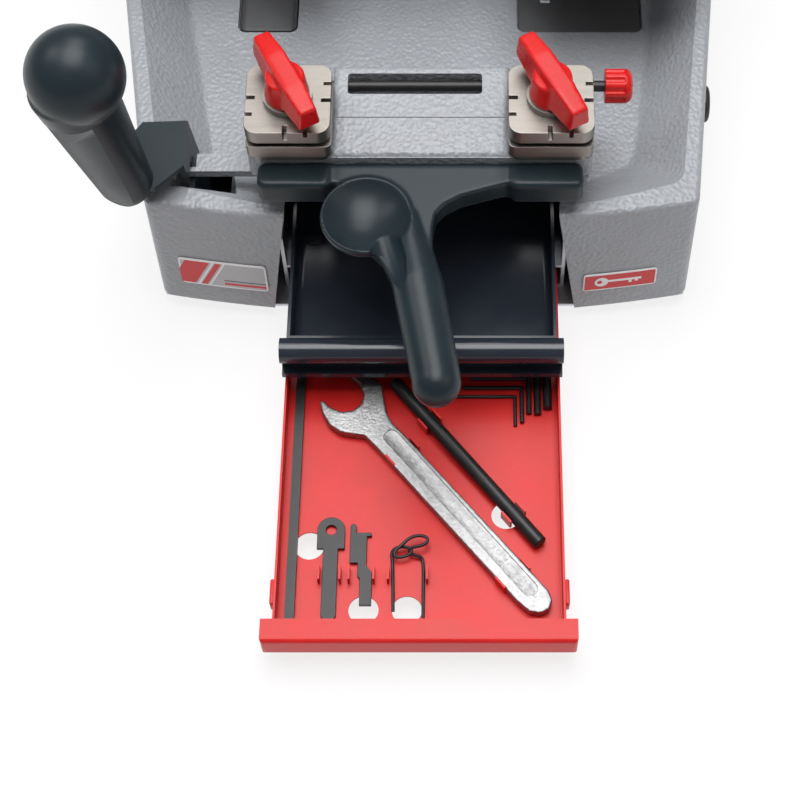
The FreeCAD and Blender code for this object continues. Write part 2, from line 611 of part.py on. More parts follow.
# Slide sleeve: runs along the shaft, carries the link lug
axis_a = (-s.sleeve_half, s.shaft_y, s.shaft_z)
axis_b = (s.sleeve_half, s.shaft_y, s.shaft_z)
lug = block(-s.sleeve_half, -s.sleeve_half + 7, link_front, s.shaft_y, s.shaft_z - 6,
            s.link_z + s.link_thick)
sleeve = bar(s.sleeve_radius, axis_a, axis_b).fuse(lug)
shaft_line = ((-s.far, s.shaft_y, s.shaft_z), (s.far, s.shaft_y, s.shaft_z))
sleeve = sleeve.cut(bar(s.shaft_radius + s.pin_gap, *shaft_line))
free_form("slide_sleeve", sleeve.removeSplitter())

# Link: from the sleeve's lug to the strap, with an open fork round the strap
fork_gap = 1.6
fork_left = strap_at_link - s.strap_thick / 2 - fork_gap - 2.5
link = block(fork_left, -s.sleeve_half, link_front, link_front + 12, s.link_z, s.link_z + s.link_thick)
link = link.cut(block(strap_at_link - s.strap_thick / 2 - fork_gap,
                      strap_at_link + s.strap_thick / 2 + fork_gap,
                      link_front + 3, link_front + 40, 0, 200))
free_form("slide_link", link)

# Carriage: block with a gauge slot, clamp shelves and two bosses round the sleeve
low = s.carriage_top - s.carriage_thick
body = block(-s.carriage_half, s.carriage_half, s.carriage_front, s.carriage_back, low, s.carriage_top)
body = body.makeFillet(4, [e for e in body.Edges if abs(e.CenterOfMass.z - s.carriage_top) < 0.1])
shelf_top = s.carriage_top - 2
shelf = block(-s.wing_half, s.wing_half, s.carriage_front, s.wing_back, shelf_top - s.wing_thick, shelf_top)
shelf = shelf.makeFillet(3, along_z(shelf, 1.0))
carriage = body.fuse(shelf)
for sign in (-1, 1):
    near = sign * s.boss_near
    far = sign * (s.boss_near + s.boss_width)
    carriage = carriage.fuse(bar(s.boss_radius, (near, s.shaft_y, s.shaft_z), (far, s.shaft_y, s.shaft_z)))
    carriage = carriage.fuse(block(min(near, far), max(near, far), s.shaft_y - 16, s.shaft_y + 13,
                                   s.shaft_z, low + 5))
carriage = carriage.cut(bar(s.sleeve_radius + s.pin_gap, *shaft_line))
slot = block(-s.slot_left, s.slot_right, s.slot_front, s.slot_back, s.rod_z - 9, s.carriage_top + 1)
carriage = carriage.cut(slot.makeFillet(2, along_z(slot, 1.0)))
rod_bore = bar(s.rod_radius + s.pin_gap, (-200, s.rod_y, s.rod_z), (200, s.rod_y, s.rod_z))
carriage = carriage.cut(rod_bore)
carriage = carriage.cut(block(-s.carriage_half + 8, s.carriage_half - 8, s.carriage_front + 8, s.rod_y - 16,
                              low - 1, s.carriage_top - 8))
for sign in (-1, 1):
    stud_x = sign * s.clamp_x
    carriage = carriage.cut(bar(s.stud_radius, (stud_x, s.clamp_y, 0), (stud_x, s.clamp_y, s.far)))
free_form("carriage", carriage.removeSplitter())

# Clamps: seat, four-sided jaws, dished spring discs, stud, washer and a turning handle
seat_top = shelf_top + s.clamp_seat
lower_top = seat_top + s.jaw_lower
upper_low = lower_top + s.jaw_gap
upper_top = upper_low + s.jaw_upper
washer_top = upper_top + s.washer_thick
half = s.clamp_side / 2


def jaw_plate(size, z0, z1, corner):
    shape = block(-size, size, -size, size, z0, z1)
    shape = shape.makeFillet(corner, along_z(shape, 1.0))
    return shape


def stud_bore(z0, z1, radius):
    return Part.makeCylinder(radius, z1 - z0, Vector(0, 0, z0))


def dished_pair(z):
    inner = s.stud_radius + s.run_gap
    low = Part.makeCone(s.disc_radius, inner, s.disc_rise, Vector(0, 0, z + s.disc_thick))
    under = moved(low, z=-s.disc_thick)
    disc = low.cut(under).cut(stud_bore(0, s.far, inner + s.disc_thick))
    ring = Part.makeCylinder(s.disc_radius, s.far).cut(stud_bore(-s.far, s.far, inner + s.disc_thick))
    disc = disc.common(ring)
    top = disc.BoundBox.ZMax
    return [disc, disc.mirror(Vector(0, 0, top), Vector(0, 0, 1))]


def clamp_handle():
    turn = Rotation(Vector(0, 0, 1), s.wing_turn)
    hub = Part.makeCone(s.wing_hub, s.wing_hub * 0.85, s.wing_rise, Vector(0, 0, washer_top))
    ends = ((-0.5, 0.8, 2.0), (-0.2, 1.0, 0.0), (0.2, 1.0, 0.0), (0.5, 0.8, 2.0))
    rings = []
    for share, broad, lift in ends:
        w = s.wing_broad / 2 * broad
        z0 = washer_top + 3 + lift
        z1 = washer_top + 3 + s.wing_tall - lift
        x = share * s.wing_long
        rings.append(plane_wire([(x, -w, z0), (x, w, z0), (x, w * 0.75, z1), (x, -w * 0.75, z1)]))
    blade = Part.makeLoft(rings, True, True)
    handle = blade.fuse(hub).cut(stud_bore(0, washer_top + s.wing_rise - 4, s.stud_radius + s.pin_gap))
    handle.Placement = Placement(Vector(), turn)
    return handle


seats = []
studs = []
springs = []
for tag, sign in (("left", -1), ("right", 1)):
    dx = sign * s.clamp_x
    seat = jaw_plate(half - 2, shelf_top, seat_top, 4).cut(stud_bore(0, 300, s.stud_radius))
    seats.append(moved(seat, dx, s.clamp_y))
    lower = jaw_plate(half, seat_top, lower_top, s.jaw_cut / 2)
    ledge = block(-half + 7, half - 7, -half + 7, half - 7, lower_top - s.jaw_recess, lower_top + 1)
    lower = lower.cut(ledge).cut(stud_bore(0, 300, s.stud_radius + s.pin_gap))
    free_form("lower_jaw_" + tag, moved(lower, dx, s.clamp_y))
    upper = jaw_plate(half, upper_low, upper_top, s.jaw_cut)
    for turn in range(4):
        notch = block(half - 5, half + 1, -2, 0.2, upper_low + 3, upper_top + 1)
        notch = notch.fuse(block(half - 4, half + 1, 9, 11, upper_low + 5, upper_top + 1))
        notch.rotate(Vector(), Vector(0, 0, 1), 90 * turn)
        upper = upper.cut(notch)
    upper = upper.cut(stud_bore(0, 300, s.stud_radius + s.pin_gap))
    free_form("upper_jaw_" + tag, moved(upper, dx, s.clamp_y))
    stud = stud_bore(shelf_top - s.wing_thick + 1, washer_top + s.wing_rise - 6, s.stud_radius)
    studs.append(moved(stud, dx, s.clamp_y))
    washer = stud_bore(upper_top, washer_top, s.washer_radius)
    washer = washer.cut(stud_bore(0, s.far, s.stud_radius + s.pin_gap))
    free_form("clamp_washer_" + tag, moved(washer, dx, s.clamp_y))
    springs += [moved(disc, dx, s.clamp_y) for disc in dished_pair(lower_top - s.jaw_recess)]
    free_form("clamp_handle_" + tag, moved(clamp_handle(), dx, s.clamp_y))
free_form("clamp_seats", Part.makeCompound(seats))
free_form("clamp_studs", Part.makeCompound(studs))
free_form("clamp_springs", Part.makeCompound(springs))

# Gauge: a rod through the carriage, a fluted knob and two fingers
gauge_rod = bar(s.rod_radius, (-s.rod_left, s.rod_y, s.rod_z), (s.rod_right, s.rod_y, s.rod_z))
free_form("gauge_rod", gauge_rod)
knob = bar(s.knob_radius, (s.rod_right - 4, s.rod_y, s.rod_z),
           (s.rod_right + s.knob_length - 4, s.rod_y, s.rod_z))
knob = knob.makeFillet(4.5, [e for e in knob.Edges if e.CenterOfMass.x > s.rod_right + s.knob_length - 4.1])
for index in range(10):
    angle = 2 * math.pi * index / 10
    y = s.rod_y + (s.knob_radius + 1.2) * math.cos(angle)
    z = s.rod_z + (s.knob_radius + 1.2) * math.sin(angle)
    knob = knob.cut(bar(2.2, (s.rod_right - 9, y, z), (s.rod_right + s.knob_length - 8, y, z)))
knob = knob.cut(gauge_rod)
free_form("gauge_knob", knob)
fingers = []
for sign in (-1, 1):
    x0 = sign * s.clamp_x - 3
    finger = bar(s.rod_radius + 3, (x0, s.rod_y, s.rod_z), (x0 + 6, s.rod_y, s.rod_z))
    finger = finger.fuse(block(x0 + 1.5, x0 + 4.5, s.rod_y - 2, s.rod_y + 2, s.rod_z, s.rod_z + 16))
    fingers.append(finger.cut(gauge_rod).removeSplitter())
free_form("gauge_fingers", Part.makeCompound(fingers))

# Carriage lever: a plate with end blocks, a palm dish and a forward grip
lever_low = s.lever_top - s.lever_thick
back = s.carriage_front
lever = block(-s.block_inner, s.block_inner, s.lever_plate_front, back, lever_low, s.lever_top)
for sign in (-1, 1):
    x0 = min(sign * s.block_inner, sign * s.block_outer)
    x1 = max(sign * s.block_inner, sign * s.block_outer)
    end_block = block(x0, x1, s.block_front, back, lever_low - 3, s.lever_top)
    round_edges = [e for e in end_block.Edges if e.CenterOfMass.y < s.block_front + 0.1]
    lever = lever.fuse(end_block.makeFillet(5, round_edges))
palm = Part.makeCylinder(s.dish_radius, s.lever_thick, Vector(s.dish_x, s.dish_y, lever_low))
lever = lever.fuse(palm.makeFillet(3, [palm.Edges[0]]))
inside = s.block_inner
web = slab([(s.dish_x - 12, back - 9), (inside, back - 9), (inside, s.lever_plate_front),
            (inside - 12, 4.3),
            (inside - 24, 0.5), (s.arm_root_x + 19.5, -5), (s.arm_root_x + 15, -11),
            (s.arm_root_x + 13.5, s.arm_root_y),
            (s.arm_root_x + 13.5, s.arm_root_y - 14), (s.dish_x + 10, s.dish_y - 26), (s.dish_x, s.dish_y)],
           lever_low, s.lever_top - 1)
lever = lever.fuse(web)
root = Vector(s.arm_root_x, s.arm_root_y, s.lever_top - s.lever_thick * 0.5)
tip = Vector(s.arm_tip_x, s.arm_tip_y, s.arm_tip_z)
swell = root + (tip - root) * 0.35
start = root + (root - tip) * 0.1
lever = lever.fuse([Part.makeCone(s.grip_radius * 0.7, s.grip_radius * 1.08, (swell - start).Length, start,
                                  swell - start),
                    Part.makeSphere(s.grip_radius * 1.08, swell),
                    Part.makeCone(s.grip_radius * 1.08, s.grip_radius, (tip - swell).Length, swell,
                                  tip - swell),
                    Part.makeSphere(s.grip_radius, tip)])
scoop_radius = (s.dish_radius ** 2 + s.dish_depth ** 2) / (2 * s.dish_depth)
scoop = Part.makeSphere(scoop_radius, Vector(s.dish_x, s.dish_y, s.lever_top + scoop_radius - s.dish_depth))
palm_zone = Part.makeCylinder(s.dish_radius - 1, 60, Vector(s.dish_x, s.dish_y, lever_low + 2))
lever = lever.cut(scoop.common(palm_zone)).cut(palm_zone.common(block(-99, 99, -99, 99, s.lever_top, 300)))
free_form("carriage_lever", lever.removeSplitter())

# Side lever: pin, bent strap and a hand grip with a ball
pin_half = s.strap_width / 2 + 8
node("side_lever_pin", group("side_lever_pin", rod(
    "side_lever_pin_bar", "pivot_radius", "strap_width + 16", "pivot_x", "pivot_y - strap_width / 2 - 8",
    "pivot_z", "y")))
ears = []
for y in (s.pivot_y - pin_half, s.pivot_y + s.strap_width / 2 + 2):
    ear = block(s.pivot_x - 9, s.pivot_x + 9, y, y + 6, plate_top, s.pivot_z + 9)
    ears.append(ear.cut(bar(s.pivot_radius, (s.pivot_x, 0, s.pivot_z), (s.pivot_x, 200, s.pivot_z))))
ear_foot = block(s.pivot_x - 9, s.pivot_x + 9, s.pivot_y - pin_half, s.pivot_y + s.strap_width / 2 + 8,
                 plate_top, plate_top + 2)
free_form("pivot_bracket", ear_foot.fuse(ears).removeSplitter())

half_t = s.strap_thick / 2
leg = front_slab([(s.pivot_x - half_t, s.pivot_z), (s.pivot_x + half_t, s.pivot_z),
                  (s.ridge_x + half_t, s.ridge_z), (s.ridge_x - half_t, s.ridge_z)],
                 s.pivot_y - s.strap_width / 2, s.pivot_y + s.strap_width / 2)
eye = bar(8, (s.pivot_x, s.pivot_y - s.strap_width / 2, s.pivot_z),
          (s.pivot_x, s.pivot_y + s.strap_width / 2, s.pivot_z))
strap_front = s.pivot_y - s.strap_width / 2
strap_back = s.pivot_y + s.strap_width / 2
over = slab([(s.ridge_x + half_t, strap_back), (s.grip_foot_x + 5, strap_back - 1),
             (s.grip_foot_x + 1, strap_back - 7),
             (s.grip_foot_x - 2, s.grip_foot_y + 16), (s.grip_foot_x - 2, s.grip_foot_y - 8),
             (s.grip_foot_x + 15, s.grip_foot_y - 6), (s.ridge_x + half_t, strap_front)],
            s.ridge_z - s.strap_thick, s.ridge_z)
strap = leg.fuse([eye, over])
strap = strap.cut(bar(s.pivot_radius + s.pin_gap, (s.pivot_x, -50, s.pivot_z), (s.pivot_x, 200, s.pivot_z)))
window_y = link_front + 3
window_drop = (s.link_z - s.pivot_z) * (1 - math.cos(math.radians(s.swing_right)))
strap = strap.cut(block(s.ridge_x - 20, s.pivot_x + 20, link_front - 20, window_y, s.link_z - 2,
                        s.link_z + s.link_thick + 2 + window_drop))
grip_foot = Vector(s.grip_foot_x, s.grip_foot_y, s.grip_foot_z)
ball_at = Vector(s.ball_x, s.ball_y, s.ball_z)
way = ball_at - grip_foot
neck = Part.makeCone(s.grip_foot_radius, s.ball_radius * 0.86, way.Length, grip_foot, way)
hand = neck.fuse([Part.makeSphere(s.grip_foot_radius, grip_foot), Part.makeSphere(s.ball_radius, ball_at)])
facet_at = grip_foot + way * 0.35 + Vector(-8, -24, -6)
facet = Part.makeBox(90, 40, 120, Vector(-45, -40, -70))
facet.Placement = Placement(facet_at + Vector(0, 9, 0), Rotation(Vector(0, 0, 1), -22))
hand = hand.cut(facet.common(Part.makeCylinder(60, way.Length * 0.78, grip_foot + way * -0.2, way)))
free_form("side_lever_strap", strap.cut(hand).removeSplitter())
free_form("side_lever_grip", hand.removeSplitter())

# Rear hood: rounded shell open below, with a belt slot in its front
pulley_left = s.housing_right + 4


def depth_share(y):
    return (y - front_corner) / (s.body_depth - front_corner)


def half_width(y):
    return s.body_half_front + (s.body_half_back - s.body_half_front) * depth_share(y)


def skew_at(y):
    return s.body_skew * depth_share(y)


def hood_prism(inset, z0, z1, rounding):
    near = s.hood_front + inset
    far = s.hood_back - inset
    wide_near = half_width(near) - s.hood_inset - inset
    wide_far = half_width(far) - s.hood_inset - inset
    prism = slab([(-wide_near - skew_at(near), near), (wide_near, near), (wide_far, far),
                  (-wide_far - skew_at(far), far)], z0, z1)
    return prism.makeFillet(rounding, [e for e in prism.Edges if e.CenterOfMass.z > z1 - 0.1])


hood = hood_prism(0, s.rim_top, s.hood_top, s.hood_round)
hood_in = hood_prism(s.hood_wall, s.rim_top - 1, s.hood_top - s.hood_wall, s.hood_round - s.hood_wall)
belt_slot = block(pulley_left - 3, pulley_left + s.pulley_width + 3, s.hood_front - 1,
                  s.hood_front + s.hood_wall + 1,
                  s.spindle_z - s.pulley_radius - 14, s.spindle_z + s.pulley_radius + 14)
switch_z = s.deck_top + 70
switch_y = s.hood_front + 50
hood_half = half_width(switch_y) - s.hood_inset
switch_hole = block(hood_half - 20, hood_half + 20, switch_y, switch_y + s.switch_width, switch_z,
                    switch_z + s.switch_height)
hood = hood.cut(hood_in).cut(belt_slot).cut(switch_hole)
for index in range(8):
    x = -60 + 14 * index
    vent = block(x, x + 6, s.hood_back - 10, s.hood_back + 10, s.deck_top + 60, s.deck_top + 110)
    hood = hood.cut(vent)
free_form("rear_hood", hood.removeSplitter())

# Cutter head: housing, two bearings, spindle, cutter, nut, pulley, belt and guard
axis_y = s.spindle_y
axis_z = s.spindle_z
boss = bar(s.housing_radius, (s.housing_left, axis_y, axis_z), (s.housing_right, axis_y, axis_z))
boss = boss.fuse(block(s.housing_left, s.housing_right, axis_y, s.hood_front, axis_z - 18, axis_z + 18))
boss = boss.fuse(block(s.housing_left + 6, s.housing_right - 6, s.hood_front - 10, s.hood_front,
                       axis_z - 30, axis_z + 30))
boss = boss.cut(bar(s.spindle_radius + 2, (0, axis_y, axis_z), (s.far, axis_y, axis_z)))
bearings = []
for x in (s.housing_left, s.housing_right - s.bearing_width):
    boss = boss.cut(bar(s.bearing_radius, (x, axis_y, axis_z), (x + s.bearing_width, axis_y, axis_z)))
    ring = bar(s.bearing_radius, (x, axis_y, axis_z), (x + s.bearing_width, axis_y, axis_z))
    ring = ring.cut(bar(s.spindle_radius + s.pin_gap, (x - 1, axis_y, axis_z), (s.far, axis_y, axis_z)))
    bearings.append(ring)
free_form("spindle_bearings", Part.makeCompound(bearings))
free_form("spindle_housing", boss.removeSplitter())
flange_left = s.clamp_x + s.cutter_width / 2
spindle = bar(s.spindle_radius, (s.spindle_left, axis_y, axis_z), (s.spindle_right, axis_y, axis_z))
spindle = spindle.fuse(bar(s.flange_radius, (flange_left, axis_y, axis_z),
                           (flange_left + 6, axis_y, axis_z)))
free_form("cutter_spindle", spindle.removeSplitter())
rim_points = []
for tooth in range(int(s.cutter_teeth)):
    for share, depth in ((0.0, s.tooth_depth), (0.35, 0.0), (0.6, 0.0)):
        angle = 2 * math.pi * (tooth + share) / s.cutter_teeth
        reach = s.cutter_radius - depth
        rim_points.append((axis_y + reach * math.cos(angle), axis_z + reach * math.sin(angle)))
cutter = side_slab(rim_points, flange_left - s.cutter_width, flange_left)
cutter = cutter.cut(bar(s.spindle_radius, (0, axis_y, axis_z), (300, axis_y, axis_z)))
free_form("cutter_wheel", cutter)
hexagon = [(axis_y + 12 * math.cos(k * math.pi / 3), axis_z + 12 * math.sin(k * math.pi / 3))
           for k in range(6)]
nut = side_slab(hexagon, flange_left - s.cutter_width - 9, flange_left - s.cutter_width)
free_form("cutter_nut", nut.cut(bar(s.spindle_radius, (0, axis_y, axis_z), (300, axis_y, axis_z))))
belt_in = (s.pulley_width - s.belt_width) / 2


def pulley(y, z, radius, bore):
    wheel = bar(radius, (pulley_left, y, z), (pulley_left + s.pulley_width, y, z))
    for x in (pulley_left, pulley_left + s.pulley_width - belt_in):
        wheel = wheel.fuse(bar(radius + s.belt_thick, (x, y, z), (x + belt_in, y, z)))
    return wheel.cut(bar(bore, (0, y, z), (300, y, z))).removeSplitter()


free_form("spindle_pulley", pulley(axis_y, axis_z, s.pulley_radius, s.spindle_radius))
free_form("motor_pulley", pulley(s.motor_y, s.motor_z, s.motor_pulley_radius, s.motor_shaft_radius))


def belt_prism(extra):
    a = Vector(pulley_left + belt_in, axis_y, axis_z)
    b = Vector(pulley_left + belt_in, s.motor_y, s.motor_z)
    r1 = s.pulley_radius + extra
    r2 = s.motor_pulley_radius + extra
    gap = (b - a).Length
    tilt = math.atan2(b.z - a.z, b.y - a.y)
    spread = math.acos((r1 - r2) / gap)
    corners = []
    for centre, radius, sense in ((a, r1, 1), (b, r2, 1), (b, r2, -1), (a, r1, -1)):
        angle = tilt + sense * spread
        corners.append((centre.y + radius * math.cos(angle), centre.z + radius * math.sin(angle)))
    prism = side_slab(corners, a.x, a.x + s.belt_width)
    for centre, radius in ((a, r1), (b, r2)):
        prism = prism.fuse(bar(radius, (a.x, centre.y, centre.z), (a.x + s.belt_width, centre.y, centre.z)))
    return prism


free_form("drive_belt", belt_prism(s.belt_thick).cut(belt_prism(0.15)).removeSplitter())
guard_in = s.cutter_radius + s.guard_gap
guard_left = flange_left - s.cutter_width - 2
guard_axis = ((guard_left, axis_y, axis_z), (s.housing_left, axis_y, axis_z))
guard = bar(guard_in + s.guard_thick, *guard_axis).cut(bar(guard_in, *guard_axis))
guard = guard.common(block(0, s.far, axis_y - guard_in - s.guard_thick, s.hood_front,
                           axis_z + guard_in * 0.6, s.far))
bracket = block(s.housing_left - 3, s.housing_left, axis_y - 8, s.hood_front, axis_z + s.housing_radius + 1,
                axis_z + guard_in + s.guard_thick / 2)
free_form("cutter_guard", guard.fuse(bracket).removeSplitter())

# Motor on its cradle
motor = bar(s.motor_radius, (s.motor_left, s.motor_y, s.motor_z), (s.motor_right, s.motor_y, s.motor_z))
motor = motor.makeFillet(5, [e for e in motor.Edges if e.Closed])
shaft_way = bar(s.motor_shaft_radius + s.pin_gap, (0, s.motor_y, s.motor_z), (s.far, s.motor_y, s.motor_z))
free_form("motor", motor.cut(shaft_way))
shaft_end = pulley_left + s.pulley_width
free_form("motor_shaft", bar(s.motor_shaft_radius, (s.motor_right - 30, s.motor_y, s.motor_z),
                             (shaft_end, s.motor_y, s.motor_z)))
cradle_back = s.body_depth - s.wall_thick - s.cradle_gap
cradle = block(s.motor_left + s.cradle_inset, s.motor_right - s.cradle_inset, s.motor_y - s.cradle_front,
               cradle_back, s.deck_top, s.motor_z - s.cradle_drop)
cradle = cradle.cut(bar(s.motor_radius, (-s.far, s.motor_y, s.motor_z), (s.far, s.motor_y, s.motor_z)))
free_form("motor_cradle", cradle.removeSplitter())

# Tracer: holder on the hood, blade in line with the left clamp, adjusting ring
tracer_x = -s.clamp_x
tip_y = axis_y - s.cutter_radius
holder = block(tracer_x - s.holder_half, tracer_x + s.holder_half, tip_y + s.tracer_reach, s.hood_front,
               axis_z - s.holder_height / 2, axis_z + s.holder_height / 2)
blade_z0 = axis_z - s.tracer_height / 2
blade = side_slab([(tip_y, axis_z - 1), (tip_y, axis_z + 1), (tip_y + 9, axis_z + s.tracer_height / 2),
                   (tip_y + s.tracer_reach + 20, axis_z + s.tracer_height / 2),
                   (tip_y + s.tracer_reach + 20, blade_z0), (tip_y + 9, blade_z0)],
                  tracer_x - s.tracer_thick / 2, tracer_x + s.tracer_thick / 2)
ring_at = tip_y + s.tracer_reach - s.ring_width
ring = bar(s.ring_radius, (tracer_x, ring_at, axis_z), (tracer_x, tip_y + s.tracer_reach, axis_z))
holder_edges = [e for e in holder.Edges if e.CenterOfMass.y < s.hood_front - 1]
free_form("tracer_holder", holder.makeFillet(3, holder_edges).cut(blade))
free_form("tracer_blade", blade)
blade_way = bar(s.tracer_height / 2 + 1, (tracer_x, 0, axis_z), (tracer_x, s.far, axis_z))
free_form("tracer_ring", ring.cut(blade_way))

# Switch, inlet and front plates
frame = switch_hole.common(block(hood_half - 12, hood_half + 1.5, 0, s.far, 0, s.far))
rocker_hole = block(hood_half - 8, hood_half + 20, switch_y + 3, switch_y + s.switch_width - 3,
                    switch_z + 3,
                    switch_z + s.switch_height - 3)
free_form("switch_frame", frame.cut(rocker_hole))
rocker_y = switch_y + s.switch_width / 2
rocker_z = switch_z + s.switch_height / 2
reach = s.switch_height / 2 - 4
rocker_points = [(hood_half - 5, rocker_z - reach), (hood_half + 1.2, rocker_z - reach),
                 (hood_half + 0.2, rocker_z), (hood_half + 1.2, rocker_z + reach),
                 (hood_half - 5, rocker_z + reach)]
rocker = front_slab(rocker_points, switch_y + 3.5, switch_y + s.switch_width - 3.5)
trunnion_x = hood_half - 2
trunnion = bar(s.trunnion_radius, (trunnion_x, switch_y + 3.1, rocker_z),
               (trunnion_x, switch_y + s.switch_width - 3.1, rocker_z))
free_form("switch_rocker", rocker.fuse(trunnion).removeSplitter())
inlet = block(inlet_x - s.inlet_width / 2, inlet_x + s.inlet_width / 2, s.body_depth - 24, s.body_depth + 2,
              inlet_z, inlet_z + s.inlet_height)
inlet = inlet.cut(block(inlet_x - s.inlet_width / 2 + 3, inlet_x + s.inlet_width / 2 - 3, s.body_depth - 15,
                        s.body_depth + 9, inlet_z + 3, inlet_z + s.inlet_height - 3))
free_form("power_inlet", inlet)


def front_plate(centre, width, height):
    plate = block(centre - width / 2, centre + width / 2, -60, 60, s.badge_z, s.badge_z + height)
    plate = plate.makeFillet(2, [e for e in plate.Edges if abs(e.CenterOfMass.y) < 1])
    skins = []
    for stand in (s.badge_glue, s.badge_glue + s.badge_thick):
        halves = (s.body_half_front, s.body_half_back)
        foot = halves + (foot_front - stand, s.body_bow, s.body_depth, plate_top)
        head = halves + (front_corner - stand, s.body_bow, s.body_depth, s.rim_top)
        skins.append(plan_loft(foot, head))
    return plate.common(skins[1]).cut(skins[0]).common(block(-s.far, s.far, -60, 40, 0, s.rim_top))


free_form("front_plate_left", front_plate(-114, s.badge_left_width, s.badge_left_height))
free_form("front_plate_right", front_plate(112, s.badge_right_width, s.badge_right_height))

# The origin is under the middle of the whole machine, to the millimetre, on the bench
doc.recompute()
whole = Part.makeCompound([thing.Shape for thing in nodes])
centre = whole.optimalBoundingBox(False, False).Center
middle = Vector(round(centre.x), round(centre.y), 0)
for thing in nodes:
    thing.Placement = Placement(middle * -1, Rotation()) * thing.Placement
doc.recompute()
print("frame moved by", round(-middle.x, 3), round(-middle.y, 3))

for thing in doc.Objects:
    if "Invalid" in thing.State or "Error" in thing.State:
        raise RuntimeError("failed object " + thing.Label)
for thing in nodes:
    if thing.Shape.isNull() or not thing.Shape.isValid():
        raise RuntimeError("bad shape " + thing.Label)
os.makedirs("parts", exist_ok=True)
for thing in nodes:
    thing.Shape.exportStep("parts/%s.step" % thing.Label)
print("pieces", len(nodes))
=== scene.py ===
import json
import math
import bpy
from mathutils import Matrix, Vector


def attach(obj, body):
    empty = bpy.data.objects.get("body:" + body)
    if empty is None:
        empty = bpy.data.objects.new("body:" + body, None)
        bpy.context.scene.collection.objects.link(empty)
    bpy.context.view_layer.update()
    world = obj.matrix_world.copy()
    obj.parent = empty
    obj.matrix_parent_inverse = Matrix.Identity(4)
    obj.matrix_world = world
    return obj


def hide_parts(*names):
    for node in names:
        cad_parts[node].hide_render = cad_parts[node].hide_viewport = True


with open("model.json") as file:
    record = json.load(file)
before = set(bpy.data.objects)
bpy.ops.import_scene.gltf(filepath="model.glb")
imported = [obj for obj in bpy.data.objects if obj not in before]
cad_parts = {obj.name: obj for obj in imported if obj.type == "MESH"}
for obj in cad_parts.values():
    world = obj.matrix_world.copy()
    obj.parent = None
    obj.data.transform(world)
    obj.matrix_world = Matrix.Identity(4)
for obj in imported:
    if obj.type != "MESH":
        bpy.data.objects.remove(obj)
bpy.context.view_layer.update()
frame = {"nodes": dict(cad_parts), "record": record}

# Base housing: an aluminium casting with a sunk tub and a front opening.
# It is sprayed with a hammered grey paint that pools into small soft pits.
# The same paint covers the hood, the carriage and the cast brackets.


def finish(name, light, dark, rough, metal=0.0, cloud=20.0, grain=900.0, depth=0.0001,
           strength=0.3, streak=(1.0, 1.0, 1.0), spread=0.08, pits=False, shine=0.5):
    made = bpy.data.materials.new(name)
    made.use_nodes = True
    nodes = made.node_tree.nodes
    links = made.node_tree.links
    shader = nodes["Principled BSDF"]
    shader.inputs["Metallic"].default_value = metal
    shader.inputs["Specular IOR Level"].default_value = shine
    place = nodes.new("ShaderNodeTexCoord")
    turn = nodes.new("ShaderNodeMapping")
    turn.inputs["Scale"].default_value = streak
    links.new(place.outputs["Object"], turn.inputs["Vector"])
    patches = nodes.new("ShaderNodeTexNoise")
    patches.inputs["Scale"].default_value = cloud
    patches.inputs["Detail"].default_value = 5.0
    patches.inputs["Roughness"].default_value = 0.6
    links.new(turn.outputs["Vector"], patches.inputs["Vector"])
    shades = nodes.new("ShaderNodeValToRGB")
    shades.color_ramp.elements[0].position = 0.3
    shades.color_ramp.elements[1].position = 0.7
    shades.color_ramp.elements[0].color = dark + (1.0,)
    shades.color_ramp.elements[1].color = light + (1.0,)
    links.new(patches.outputs["Fac"], shades.inputs["Fac"])
    links.new(shades.outputs["Color"], shader.inputs["Base Color"])
    if pits:
        fine = nodes.new("ShaderNodeTexVoronoi")
        fine.feature = "SMOOTH_F1"
        fine.inputs["Smoothness"].default_value = 0.6
        height = fine.outputs["Distance"]
    else:
        fine = nodes.new("ShaderNodeTexNoise")
        fine.inputs["Detail"].default_value = 3.0
        height = fine.outputs["Fac"]
    fine.inputs["Scale"].default_value = grain
    links.new(turn.outputs["Vector"], fine.inputs["Vector"])
    relief = nodes.new("ShaderNodeBump")
    relief.inputs["Strength"].default_value = strength
    relief.inputs["Distance"].default_value = depth
    links.new(height, relief.inputs["Height"])
    links.new(relief.outputs["Normal"], shader.inputs["Normal"])
    gloss = nodes.new("ShaderNodeMapRange")
    gloss.inputs["To Min"].default_value = rough - spread
    gloss.inputs["To Max"].default_value = rough + spread
    links.new(patches.outputs["Fac"], gloss.inputs["Value"])
    links.new(gloss.outputs["Result"], shader.inputs["Roughness"])
    return made


def body_of(node):
    bodies = frame["record"]["behaviour"]["bodies"]
    return next(body for body, members in bodies.items() if node in members)


def pick(piece):
    bpy.ops.object.select_all(action="DESELECT")
    piece.select_set(True)
    bpy.context.view_layer.objects.active = piece


def work(piece, label, kind, **settings):
    pick(piece)
    step = piece.modifiers.new(label, kind)
    for setting, value in settings.items():
        setattr(step, setting, value)
    bpy.ops.object.modifier_apply(modifier=step.name)


def clean_copy(node):
    piece = bpy.data.objects.new(node + "_skin", frame["nodes"][node].data.copy())
    bpy.context.scene.collection.objects.link(piece)
    pick(piece)
    bpy.ops.object.mode_set(mode="EDIT")
    bpy.ops.mesh.select_all(action="SELECT")
    bpy.ops.mesh.remove_doubles(threshold=2e-6)
    bpy.ops.mesh.customdata_custom_splitnormals_clear()
    bpy.ops.object.mode_set(mode="OBJECT")
    return piece


def settle(piece, body, paint, angle=32.0):
    pick(piece)
    bpy.ops.object.shade_smooth_by_angle(angle=math.radians(angle))
    piece.data.materials.clear()
    piece.data.materials.append(paint)
    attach(piece, body)
    return piece


